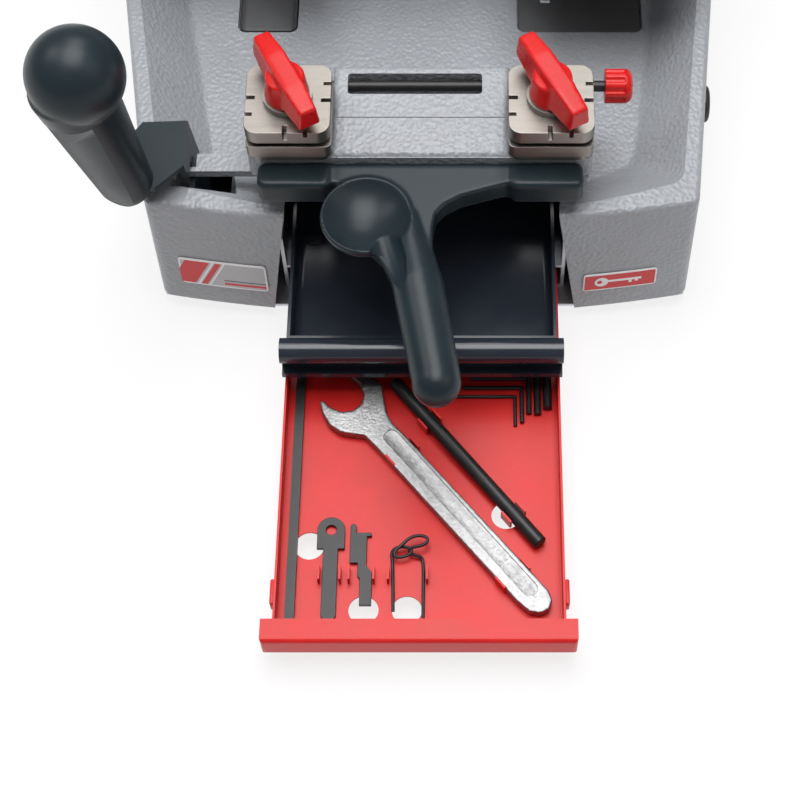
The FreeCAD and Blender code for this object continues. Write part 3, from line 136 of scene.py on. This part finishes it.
def dress(node, paint, soften=0.0, angle=32.0):
    piece = clean_copy(node)
    if soften:
        bpy.ops.object.mode_set(mode="EDIT")
        bpy.ops.mesh.select_all(action="SELECT")
        bpy.ops.mesh.dissolve_limited(angle_limit=math.radians(0.5))
        bpy.ops.object.mode_set(mode="OBJECT")
        work(piece, "eased edges", "BEVEL", width=soften, segments=2, limit_method="ANGLE",
             angle_limit=math.radians(40))
    settle(piece, body_of(node), paint, angle)
    if soften:
        work(piece, "flat faces", "WEIGHTED_NORMAL", keep_sharp=True)
    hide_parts(node)
    return piece


grey_paint = finish("hammered_grey_paint", (0.34, 0.355, 0.38), (0.295, 0.305, 0.325), 0.32,
                    cloud=9.0, grain=400.0, depth=0.0011, strength=0.6, pits=True)
dress("base_housing", grey_paint)

# Recess shade sheets: two dark sheets laid in the shallow recesses of the tub floor, as painted
# shade for the shadow that falls in these recesses. They are cut with rounded corners.
# Places are in the machine's own millimetres, from the middle of its front opening.
rim_angle = math.radians(50)


def at(x, y, z):
    return Vector((x + 8.0, y - 58.0, z)) / 1000.0


def lozenge(name, low, high, corner, edge):
    bpy.ops.object.select_all(action="DESELECT")
    bpy.ops.mesh.primitive_cube_add(size=1.0, location=(at(*low) + at(*high)) / 2)
    piece = bpy.context.object
    piece.name = name
    piece.scale = at(*high) - at(*low)
    bpy.ops.object.transform_apply(location=True, rotation=False, scale=True)
    bpy.ops.object.mode_set(mode="EDIT")
    bpy.ops.mesh.select_all(action="DESELECT")
    bpy.ops.object.mode_set(mode="OBJECT")
    for side in piece.data.edges:
        one, two = (piece.data.vertices[i].co for i in side.vertices)
        side.select = abs(one.z - two.z) > 1e-6
    bpy.ops.object.mode_set(mode="EDIT")
    bpy.ops.mesh.select_mode(type="EDGE")
    bpy.ops.mesh.bevel(offset=corner / 1000.0, segments=6)
    bpy.ops.object.mode_set(mode="OBJECT")
    work(piece, "eased rim", "BEVEL", width=edge / 1000.0, segments=2, angle_limit=rim_angle)
    return piece


# The sheets' near-black colour is painted shade for the recesses, not a rubber mat of the
# machine.
recess_shade_paint = finish("recess_painted_shade", (0.095, 0.096, 0.10), (0.075, 0.076, 0.08), 0.6,
                    cloud=60.0, grain=1200.0, depth=0.00015)
mat_front, mat_back, mat_low, mat_top = 158.0, 191.0, 60.0, 62.0
mat_corner, mat_edge = 4.5, 0.5
for name, left, right in (("recess_painted_shade_left", -111.5, -77.5), ("recess_painted_shade_right", 55.5, 128.5)):
    mat = lozenge(name, (left, mat_front, mat_low), (right, mat_back, mat_top),
                  mat_corner, mat_edge)
    settle(mat, "base", recess_shade_paint)

# Base plate and feet: folded zinc-plated sheet screwed under the casting.
# Four moulded rubber feet are screwed through it.
zinc = finish("zinc_plated_sheet", (0.55, 0.57, 0.60), (0.46, 0.48, 0.51), 0.38, metal=1.0,
              cloud=60.0, grain=700.0, depth=0.00005)
rubber = finish("matt_rubber", (0.022, 0.022, 0.023), (0.015, 0.015, 0.016), 0.8,
                cloud=120.0, grain=1500.0, depth=0.0001)
dress("base_plate", zinc)
dress("rubber_feet", rubber)

# Runners: two bent strips with ledges that carry the drawer and the tray.
# They stand on the base plate inside the front opening.
for side in ("left", "right"):
    dress("runner_" + side, zinc)

# Tool drawer: red powder-coated sheet with a thick front bar.
# Spring clips lanced from the floor hold the tools, and finger holes let them be lifted.
# A small pressed bump on each side latches the drawer when it is shut.
red_coat = finish("red_powder_coat", (0.70, 0.018, 0.016), (0.60, 0.013, 0.012), 0.36,
                  cloud=30.0, grain=1400.0, depth=0.00008, strength=0.25, shine=0.32)
dress("tool_drawer", red_coat)
latch_inner, latch_outer = 76.4, 78.8
latch_front, latch_back, latch_low, latch_top = -193.0, -179.0, 16.0, 25.0
for name, left, right in (("drawer_latch_left", -latch_outer, -latch_inner),
                          ("drawer_latch_right", latch_inner, latch_outer)):
    bump = lozenge(name, (left, latch_front, latch_low), (right, latch_back, latch_top), 1.0, 0.5)
    settle(bump, "tool_drawer", red_coat)

# Tools in the drawer: a forged wrench, a turning bar, setting gauges, a wire clip and hex keys.
# The wrench is satin chrome, and the others are blackened steel.
# The wrench's panel is sunk in the forging, and the clip is one bent wire.
chrome = finish("satin_chrome", (0.42, 0.42, 0.42), (0.25, 0.25, 0.255), 0.46, metal=1.0,
                cloud=260.0, grain=600.0, depth=0.0004, strength=0.6)
black_steel = finish("blackened_steel", (0.018, 0.018, 0.019), (0.010, 0.010, 0.011), 0.38,
                     cloud=160.0, grain=1200.0, depth=0.00008, shine=0.4)


def carve(piece, cutter):
    work(piece, "hollow", "BOOLEAN", object=cutter, operation="DIFFERENCE", solver="EXACT")
    bpy.data.objects.remove(cutter)


def mould(node, paint, slot, voxel, rounds, *cutters, start=None, blend=0):
    piece = start or clean_copy(node)
    work(piece, "one skin", "REMESH", mode="VOXEL", voxel_size=voxel)
    work(piece, "flowing edges", "SMOOTH", factor=0.5, iterations=rounds)
    for cutter in cutters:
        carve(piece, cutter)
    if blend:
        work(piece, "blended hollows", "REMESH", mode="VOXEL", voxel_size=voxel)
        work(piece, "eased hollows", "SMOOTH", factor=0.5, iterations=blend)
    settle(piece, body_of(node), paint, 60.0)
    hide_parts(node)
    return piece


def plank(name, outline, low, high):
    count = len(outline)
    corners = [at(x, y, low) for x, y in outline] + [at(x, y, high) for x, y in outline]
    sides = [(k, (k + 1) % count, count + (k + 1) % count, count + k) for k in range(count)]
    ends = [tuple(reversed(range(count))), tuple(range(count, 2 * count))]
    mesh = bpy.data.meshes.new(name)
    mesh.from_pydata(corners, [], ends[:1] + sides + ends[1:])
    piece = bpy.data.objects.new(name, mesh)
    bpy.context.scene.collection.objects.link(piece)
    return piece


def turned_lozenge(name, half, corner, edge, place):
    piece = lozenge(name, [-size for size in half], half, corner, edge)
    piece.data.transform(Matrix.Translation(-at(0.0, 0.0, 0.0)))
    piece.matrix_world = place
    return piece


wrench_outline = (
    (-57.5, -69.5), (-55.7, -76.7), (-51.5, -84.4), (-45.1, -88.8), (-37.3, -90.2),
    (-31.9, -91.0), (-25.4, -98.0), (51.1, -189.1), (57.5, -195.0), (63.4, -196.0),
    (68.1, -193.5), (69.8, -188.6), (67.8, -183.1), (-10.1, -90.4), (-16.6, -83.3),
    (-20.1, -76.7), (-21.8, -67.3), (-23.0, -59.4), (-26.5, -55.5), (-33.0, -52.7),
    (-39.5, -51.0), (-41.4, -53.0), (-35.3, -58.3), (-32.9, -65.6), (-34.4, -71.7),
    (-39.2, -75.6), (-45.5, -76.2), (-51.5, -73.4), (-55.5, -69.5))
wrench_low, wrench_top = 13.6, 19.8
panel_half, panel_middle, panel_turn = (63.0, 4.4, 1.0), (20.5, -137.2, 20.2), -50.3
wrench = plank("wrench_body", wrench_outline, wrench_low, wrench_top)
panel = turned_lozenge("wrench_panel", panel_half, 4.2, 0.3,
                       Matrix.Translation(at(*panel_middle))
                       @ Matrix.Rotation(math.radians(panel_turn), 4, "Z"))
mould("open_end_wrench", chrome, "bright_steel", 0.0005, 6, panel, start=wrench)
gauge_edge = 0.0003
for tool in ("tommy_bar", "side_bar", "key_gauge", "stop_gauge", "hex_keys"):
    dress(tool, black_steel, soften=gauge_edge if "gauge" in tool else 0.0)
clip_path = (
    (-14.2, -193.4, 15.0), (-14.5, -180.5, 15.0), (-15.1, -164.1, 15.0), (-15.8, -160.7, 16.0),
    (-14.2, -158.0, 17.0), (-9.5, -157.0, 17.5), (-4.8, -158.6, 18.0), (-5.2, -161.8, 18.0),
    (-10.3, -163.9, 18.0), (-14.4, -163.3, 18.5), (-13.6, -160.0, 19.0), (-9.9, -157.0, 19.5),
    (-6.6, -153.6, 20.0), (-2.0, -151.6, 20.0), (3.2, -152.4, 20.0), (4.0, -155.5, 20.0),
    (0.4, -157.7, 19.5), (-4.3, -158.0, 19.0), (-6.6, -159.5, 18.0), (-4.3, -161.7, 17.0),
    (-0.1, -162.2, 16.0), (1.5, -164.4, 15.0), (1.6, -180.5, 15.0), (1.6, -198.3, 15.0))
wire_radius = 0.0009
wire_line = bpy.data.curves.new("clip_wire", "CURVE")
wire_line.dimensions = "3D"
wire_line.bevel_depth = wire_radius
wire_line.bevel_resolution = 4
wire_line.use_fill_caps = True
run = wire_line.splines.new("NURBS")
run.points.add(len(clip_path) - 1)
for point, spot in zip(run.points, clip_path):
    point.co = (*at(*spot), 1.0)
run.order_u = 3
run.use_endpoint_u = True
run.resolution_u = 5
clip_skin = bpy.data.objects.new("wire_clip_skin", wire_line)
bpy.context.scene.collection.objects.link(clip_skin)
pick(clip_skin)
bpy.ops.object.convert(target="MESH")
settle(clip_skin, "tool_drawer", black_steel, 60.0)
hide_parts("wire_clip")

# Chip tray: a glossy blue-black moulding that catches the brass filings.
# Its front edge is rolled over for the fingers.
# A small raised ring on its floor is left by the mould's gate.
tray_gloss = finish("blue_black_moulding", (0.024, 0.030, 0.042), (0.017, 0.021, 0.032), 0.20,
                    cloud=24.0, grain=900.0, depth=0.00004, strength=0.2)
dress("chip_tray", tray_gloss)


def puck(sides, radius, depth, spot):
    bpy.ops.object.select_all(action="DESELECT")
    bpy.ops.mesh.primitive_cylinder_add(vertices=sides, radius=radius, depth=depth, location=spot)
    return bpy.context.object


gate_x, gate_y, gate_z, gate_hollow_z = -64.0, 30.4, 33.5, 34.1
gate_radius, gate_hollow_radius, gate_height = 0.005, 0.004, 0.001
gate_mark = puck(64, gate_radius, gate_height, at(gate_x, gate_y, gate_z))
gate_mark.name = "tray_gate_mark"
work(gate_mark, "rounded rim", "BEVEL", width=0.0003, segments=3, angle_limit=rim_angle)
carve(gate_mark, puck(64, gate_hollow_radius, gate_height, at(gate_x, gate_y, gate_hollow_z)))
bpy.ops.object.transform_apply(location=True, rotation=True, scale=True)
settle(gate_mark, "chip_tray", tray_gloss)

# Slide: two posts hold a ground steel shaft, and a sleeve runs along it with a link.
# The link's fork takes hold of the side lever's strap.
# A moulded plug closes a hole in the right side wall.
steel = finish("ground_steel", (0.62, 0.62, 0.63), (0.50, 0.50, 0.52), 0.28, metal=1.0,
               cloud=90.0, grain=800.0, depth=0.00004, streak=(1.0, 9.0, 9.0))
for node in ("shaft_posts", "slide_shaft", "slide_sleeve"):
    dress(node, steel)
dress("slide_link", grey_paint)
black_moulding = finish("black_moulding", (0.026, 0.026, 0.028), (0.019, 0.019, 0.021), 0.5,
                        cloud=100.0, grain=1600.0, depth=0.00006)
dress("side_plug", black_moulding)

# Carriage: a cast block with a slot for the gauge rod and a shelf for each clamp.
# It tilts on the sleeve and is painted like the housing.
# A fine seam is cut across its top between the clamps.
carriage_skin = dress("carriage", grey_paint)
seam_half, seam_front, seam_back, seam_low, seam_top = 46.5, 45.9, 46.5, 125.4, 127.0
carve(carriage_skin, lozenge("seam", (-seam_half, seam_front, seam_low),
                             (seam_half, seam_back, seam_top), 0.1, 0.02))

# Clamps: two nickel-plated jaws on a stud, with a spring between them and a washer on top.
# A red moulded handle screws each clamp shut.
nickel = finish("satin_nickel", (0.31, 0.288, 0.263), (0.245, 0.227, 0.206), 0.44, metal=1.0,
                cloud=40.0, grain=900.0, depth=0.00006, streak=(1.0, 6.0, 1.0))
red_moulding = finish("red_moulding", (0.62, 0.009, 0.008), (0.54, 0.007, 0.007), 0.28,
                      cloud=60.0, grain=1500.0, depth=0.00006, shine=0.3)
jaw_edge = 0.0004
dress("clamp_seats", nickel)
dress("clamp_studs", steel)
dress("clamp_springs", steel)
for side in ("left", "right"):
    dress("lower_jaw_" + side, nickel, soften=jaw_edge)
    dress("upper_jaw_" + side, nickel, soften=jaw_edge)
    dress("clamp_washer_" + side, nickel)
    mould("clamp_handle_" + side, red_moulding, "red_plastic", 0.0007, 16)

# Gauge: a black rod through the carriage with two fingers that set the keys.
# A fluted red knob turns it.
for node in ("gauge_rod", "gauge_fingers"):
    dress(node, black_steel)
mould("gauge_knob", red_moulding, "red_plastic", 0.0004, 6)

# Carriage lever: a satin dark moulding over the front of the carriage.
# It has a palm dish and one curved grip that points at the user.
dark_grip = finish("satin_dark_moulding", (0.016, 0.026, 0.032), (0.012, 0.020, 0.025), 0.34,
                   cloud=26.0, grain=1500.0, depth=0.00005, strength=0.2, shine=0.26)


def taper(name, start, end, radius_start, radius_end):
    way = at(*end) - at(*start)
    bpy.ops.object.select_all(action="DESELECT")
    bpy.ops.mesh.primitive_cone_add(vertices=96, radius1=radius_start / 1000.0,
                                    radius2=radius_end / 1000.0, depth=way.length,
                                    location=(at(*start) + at(*end)) / 2,
                                    rotation=way.to_track_quat("Z", "Y").to_euler())
    bpy.context.object.name = name
    return bpy.context.object


def egg(name, centre, radii, turn=0.0):
    bpy.ops.object.select_all(action="DESELECT")
    bpy.ops.mesh.primitive_uv_sphere_add(segments=96, ring_count=48, radius=1.0,
                                         location=at(*centre))
    piece = bpy.context.object
    piece.name = name
    piece.scale = [radius / 1000.0 for radius in radii]
    piece.rotation_euler = (0.0, 0.0, math.radians(turn))
    return piece


def joined(first, *others):
    bpy.ops.object.select_all(action="DESELECT")
    for piece in (first,) + others:
        piece.select_set(True)
    bpy.context.view_layer.objects.active = first
    bpy.ops.object.join()
    bpy.ops.object.transform_apply(location=True, rotation=True, scale=True)
    return first


lever_top, lever_low = 121.0, 106.0
plate_top = lever_top - 1.4
end_inner, end_outer, end_front, end_back, end_low = 47.6, 87.0, 5.0, 21.0, 104.0
web_outline = ((-36, -20), (-19.5, -37.5), (-11.3, -57), (0, -56), (7, -34), (7, -20),
               (8.5, -11), (13, -5), (22, 0.5), (34, 4.3), (46, 8), (46, 12), (-40, 12))
dish_x, dish_y, dish_reach = -28.3, -13.0, 40.0
spoon = egg("spoon", (dish_x, dish_y, 119.0), (24.3, 24.3, 13.0))
carve(spoon, lozenge("level", (dish_x - dish_reach, dish_y - dish_reach, lever_top),
                     (dish_x + dish_reach, dish_y + dish_reach, 150.0), 1.0, 0.1))
arm_root, arm_swell, arm_tip = (-8.2, -11, 112.8), (-0.7, -50.3, 111.0), (9.4, -104.5, 106.4)
root_radius, swell_radius, tip_radius = 9.5, 13.5, 12.7
lever = joined(
    lozenge("lever_block_left", (-end_outer, end_front, end_low),
            (-end_inner, end_back, lever_top), 4.0, 2.5),
    lozenge("lever_block_right", (end_inner, end_front, end_low),
            (end_outer, end_back, lever_top), 4.0, 2.5),
    lozenge("lever_plate", (-52, 8, 105), (52, end_back, plate_top), 1.0, 0.6),
    plank("lever_web", web_outline, lever_low, plate_top), spoon,
    taper("arm_start", arm_root, arm_swell, root_radius, swell_radius),
    taper("arm_grip", arm_swell, arm_tip, swell_radius, tip_radius),
    egg("arm_end", (9.4, -106.0, 106.2), (tip_radius, 12.9, tip_radius)))
palm_radius, palm_depth = 23.0, 9.0
bowl_radius = (palm_radius ** 2 + palm_depth ** 2) / (2 * palm_depth)
bowl = egg("bowl", (dish_x, dish_y, lever_top + bowl_radius - palm_depth), (bowl_radius,) * 3)
tail = egg("tail", (-17.8, -32.0, 123.0), (8.6, 28.0, 9.0), 16.0)
mould("carriage_lever", dark_grip, "dark_grip", 0.0008, 9, bowl, tail, start=lever, blend=4)

# Side lever: a bent steel strap on a pin in a bracket, with a ball-topped grip pushed on its end.
# It swings to slide the carriage along its shaft.
# A long flat is pressed in the front of the grip for the thumb.
dress("side_lever_pin", steel)
dress("pivot_bracket", black_steel)
dress("side_lever_strap", dark_grip)
grip_foot, ball = Vector((-158.0, 18.0, 108.0)), Vector((-167.0, 12.0, 204.0))
flat_half, flat_reach, flat_lean, flat_share = (20.0, 45.0, 10.0), 14.9, 0.072, 0.37
facing = Vector((-0.30, -0.954, 0.0))
along = ((ball - grip_foot).normalized() + facing * flat_lean).normalized()
facing = (facing - along * facing.dot(along)).normalized()
across = along.cross(facing)
middle = grip_foot.lerp(ball, flat_share) + facing * (flat_reach + flat_half[2])
facet = turned_lozenge("facet", flat_half, 9.0, 0.6,
                       Matrix.Translation(at(*middle))
                       @ Matrix((across, along, facing)).transposed().to_4x4())
hand_foot, hand_top = (-159.0, 17.5, 109.5), (-171.0, 10.0, 200.0)
ball_radius, foot_radius, neck_radius = 24.9, 15.0, 21.8
hand = joined(egg("hand_ball", ball, (ball_radius,) * 3),
              egg("hand_foot", hand_foot, (foot_radius,) * 3),
              taper("hand_neck", hand_foot, hand_top, foot_radius, neck_radius))
mould("side_lever_grip", dark_grip, "dark_grip", 0.0009, 12, facet, start=hand)

# Rear hood: a painted shell screwed to the rim that covers the motor and belt.
# Slots in its back let the warm air out, and socket screws hold its lower edge.
dress("rear_hood", grey_paint)
screw_radius, screw_depth, socket_radius = 0.0036, 0.0024, 0.0019


def screw(name, spot, turn):
    head = puck(48, screw_radius, screw_depth, (0.0, 0.0, 0.0))
    head.name = name
    work(head, "rounded rim", "BEVEL", width=0.0007, segments=3, angle_limit=rim_angle)
    carve(head, puck(6, socket_radius, screw_depth, (0.0, 0.0, screw_depth / 2)))
    head.rotation_euler = (math.radians(turn), 0.0, 0.0)
    head.location = at(*spot)
    bpy.ops.object.transform_apply(location=True, rotation=True, scale=True)
    settle(head, "base", zinc)


hood_face, hood_screw_z = 326.6, 101.0
for number, x in enumerate((-168.0, -60.0, 45.0, 152.0), start=1):
    screw("hood_screw_%d" % number, (x, hood_face, hood_screw_z), -90.0)

# Cutter head: a cast housing on the hood, with a spindle in two bearings.
# The cutter is held by a nut, and a belt drives the pulley at the other end.
alloy = finish("turned_alloy", (0.70, 0.70, 0.72), (0.60, 0.60, 0.62), 0.3, metal=1.0,
               cloud=50.0, grain=900.0, depth=0.00004, streak=(9.0, 1.0, 1.0))
dress("spindle_housing", grey_paint)
head_face = 184.4
head_spots = ((95.0, 106.0), (121.0, 106.0), (95.0, 154.0), (121.0, 154.0))
for number, (x, z) in enumerate(head_spots, start=1):
    screw("head_screw_%d" % number, (x, head_face, z), 90.0)
for node in ("spindle_bearings", "cutter_spindle", "cutter_wheel", "cutter_nut"):
    dress(node, steel)
for node in ("spindle_pulley", "motor_pulley"):
    dress(node, alloy)
dress("drive_belt", rubber)
dress("cutter_guard", black_steel)

# Motor: a black enamelled induction motor strapped to a cradle under the hood.
# Its steel shaft carries the motor pulley at the right end.
enamel = finish("black_enamel", (0.05, 0.05, 0.055), (0.035, 0.035, 0.038), 0.4,
                cloud=50.0, grain=900.0, depth=0.0001)
dress("motor", enamel)
dress("motor_cradle", enamel)
dress("motor_shaft", steel)

# Tracer: a ground blade in a painted holder, set in and out by a knurled ring.
# It stands in line with the left clamp, as the cutter does with the right one.
dress("tracer_holder", grey_paint)
for node in ("tracer_blade", "tracer_ring"):
    dress(node, steel)

# Switch and mains inlet: black mouldings snapped into the hood and the back wall.
# The rocker is red, and the inlet has three steel pins.
dress("switch_frame", black_moulding)
dress("switch_rocker", red_moulding)
dress("power_inlet", black_moulding)
pin_half_wide, pin_half_high, pin_front, pin_back = 1.1, 2.2, 314.5, 326.0
for name, x, z in (("inlet_pin_left", -96.0, 44.0), ("inlet_pin_right", -84.0, 44.0),
                   ("inlet_pin_top", -90.0, 49.5)):
    pin = lozenge(name, (x - pin_half_wide, pin_front, z - pin_half_high),
                  (x + pin_half_wide, pin_back, z + pin_half_high), 0.4, 0.3)
    settle(pin, "base", steel)

# Front plates: thin printed film glued to the front of the casting, each with a plain device.
# The left one has slanted red bars on silver, and the right one a white key on red.
# A mark of five numbers is a bar (slant, x, half width, z, half height), one of three a disc.


def printed(name, ground, marks):
    made = finish(name, ground, ground, 0.3, cloud=30.0, grain=1500.0, depth=0.00002)
    nodes = made.node_tree.nodes
    links = made.node_tree.links
    place = nodes.new("ShaderNodeTexCoord")
    split = nodes.new("ShaderNodeSeparateXYZ")
    links.new(place.outputs["Object"], split.inputs["Vector"])

    def math_node(kind, first, *rest):
        step = nodes.new("ShaderNodeMath")
        step.operation = kind
        links.new(first, step.inputs[0])
        for slot, value in enumerate(rest, start=1):
            if isinstance(value, float):
                step.inputs[slot].default_value = value
            else:
                links.new(value, step.inputs[slot])
        return step.outputs["Value"]

    def band(slant, middle, half):
        across = math_node("MULTIPLY_ADD", split.outputs["Z"], slant, split.outputs["X"])
        return math_node("COMPARE", across, middle / 1000.0, half / 1000.0)

    def level(middle, half):
        return math_node("COMPARE", split.outputs["Z"], middle / 1000.0, half / 1000.0)

    def disc(x, z, radius):
        aside = math_node("POWER", math_node("SUBTRACT", split.outputs["X"], x / 1000.0), 2.0)
        above = math_node("POWER", math_node("SUBTRACT", split.outputs["Z"], z / 1000.0), 2.0)
        return math_node("LESS_THAN", math_node("ADD", aside, above), (radius / 1000.0) ** 2)

    shader = nodes["Principled BSDF"]
    colour = shader.inputs["Base Color"].links[0].from_socket
    for ink, mark in marks:
        layer = nodes.new("ShaderNodeMix")
        layer.data_type = "RGBA"
        if len(mark) == 3:
            mask = disc(*mark)
        else:
            mask = math_node("MULTIPLY", band(*mark[:3]), level(*mark[3:]))
        links.new(mask, layer.inputs["Factor"])
        links.new(colour, layer.inputs["A"])
        layer.inputs["B"].default_value = ink + (1.0,)
        colour = layer.outputs["Result"]
    links.new(colour, shader.inputs["Base Color"])
    return made


white_ink, red_ink = (0.82, 0.82, 0.82), (0.62, 0.012, 0.016)
dark_ink, silver_ink = (0.10, 0.10, 0.11), (0.46, 0.46, 0.48)
bars = printed("slanted_bar_film", white_ink, (
    (silver_ink, (0.0, -106.0, 24.0, 37.0, 10.0)), (red_ink, (-0.5, -143.5, 7.0, 37.0, 10.0)),
    (white_ink, (-0.5, -134.6, 0.6, 37.0, 10.0)), (red_ink, (-0.5, -131.5, 1.7, 37.0, 10.0)),
    (white_ink, (-0.5, -128.2, 0.6, 37.0, 10.0)), (red_ink, (0.0, -94.0, 12.0, 29.5, 1.0)),
    (dark_ink, (0.0, -94.0, 12.0, 32.4, 0.5))))
key_mark = printed("white_key_film", white_ink, (
    (red_ink, (0.0, 120.0, 20.2, 33.0, 6.2)), (white_ink, (109.5, 33.0, 3.9)),
    (red_ink, (108.4, 33.0, 1.5)), (white_ink, (0.0, 122.5, 9.8, 33.4, 0.95)),
    (white_ink, (0.0, 126.0, 0.9, 31.6, 1.3)), (white_ink, (0.0, 129.6, 0.9, 31.9, 1.0))))
dress("front_plate_left", bars)
dress("front_plate_right", key_mark)

# Studio: a pale floor in a white surround, with four soft lamps.
# The floor glows for the camera and in reflections, and keeps the machine's shadow.
bpy.ops.object.select_all(action="DESELECT")
bpy.ops.mesh.primitive_plane_add(size=60.0, location=(0.0, 0.0, -0.0005))
floor = bpy.context.object
floor.name = "studio_floor"
pale = bpy.data.materials.new("pale_floor")
pale.use_nodes = True
tree = pale.node_tree
floor_shader = tree.nodes["Principled BSDF"]
floor_shader.inputs["Base Color"].default_value = (0.93, 0.93, 0.93, 1.0)
floor_shader.inputs["Roughness"].default_value = 0.9
floor_shader.inputs["Specular IOR Level"].default_value = 0.0
glow = tree.nodes.new("ShaderNodeEmission")
glow.inputs["Strength"].default_value = 1.0
rays = tree.nodes.new("ShaderNodeLightPath")
share = tree.nodes.new("ShaderNodeMath")
share.operation = "MULTIPLY"
share.inputs[1].default_value = 0.8
either = tree.nodes.new("ShaderNodeMath")
either.operation = "MAXIMUM"
blend = tree.nodes.new("ShaderNodeMixShader")
tree.links.new(rays.outputs["Is Camera Ray"], either.inputs[0])
tree.links.new(rays.outputs["Is Glossy Ray"], either.inputs[1])
tree.links.new(either.outputs["Value"], share.inputs[0])
tree.links.new(share.outputs["Value"], blend.inputs["Fac"])
tree.links.new(floor_shader.outputs["BSDF"], blend.inputs[1])
tree.links.new(glow.outputs["Emission"], blend.inputs[2])
tree.links.new(blend.outputs["Shader"], tree.nodes["Material Output"].inputs["Surface"])
floor.data.materials.append(pale)

world = bpy.data.worlds.new("studio_world")
bpy.context.scene.world = world
world.use_nodes = True
sky = world.node_tree.nodes["Background"]
sky.inputs["Color"].default_value = (1.0, 1.0, 1.0, 1.0)
seen = world.node_tree.nodes.new("ShaderNodeLightPath")
sky_light = world.node_tree.nodes.new("ShaderNodeMapRange")
sky_light.inputs["To Min"].default_value = 0.22
sky_light.inputs["To Max"].default_value = 1.0
world.node_tree.links.new(seen.outputs["Is Camera Ray"], sky_light.inputs["Value"])
world.node_tree.links.new(sky_light.outputs["Result"], sky.inputs["Strength"])
lamps = (("top_lamp", (0.0, 0.05, 1.6), 1.0, 21.0), ("key_lamp", (-1.0, 0.3, 1.4), 0.7, 5.0),
         ("fill_lamp", (1.1, -0.3, 1.2), 1.0, 2.5), ("back_lamp", (0.05, 0.95, 1.55), 0.8, 8.0))
lamp_aim = Vector((0.0, -0.05, 0.1))
for name, spot, size, power in lamps:
    lamp = bpy.data.objects.new(name, bpy.data.lights.new(name, "AREA"))
    bpy.context.scene.collection.objects.link(lamp)
    lamp.data.size = size
    lamp.data.energy = power
    lamp.location = spot
    lamp.rotation_euler = (lamp_aim - Vector(spot)).to_track_quat("-Z", "Y").to_euler()

# Camera: level from side to side, in front of the machine and looking steeply down.
look_down = 61.5
camera = bpy.data.objects.new("camera", bpy.data.cameras.new("camera"))
bpy.context.scene.collection.objects.link(camera)
camera.data.sensor_width = 36.0
camera.data.lens = 80.15
camera.data.shift_x = -0.0875
camera.location = (0.0344, -0.6019, 0.8945)
camera.rotation_euler = (math.radians(90.0 - look_down), 0.0, 0.0)
bpy.context.scene.camera = camera
bpy.context.scene.view_settings.view_transform = "Standard"
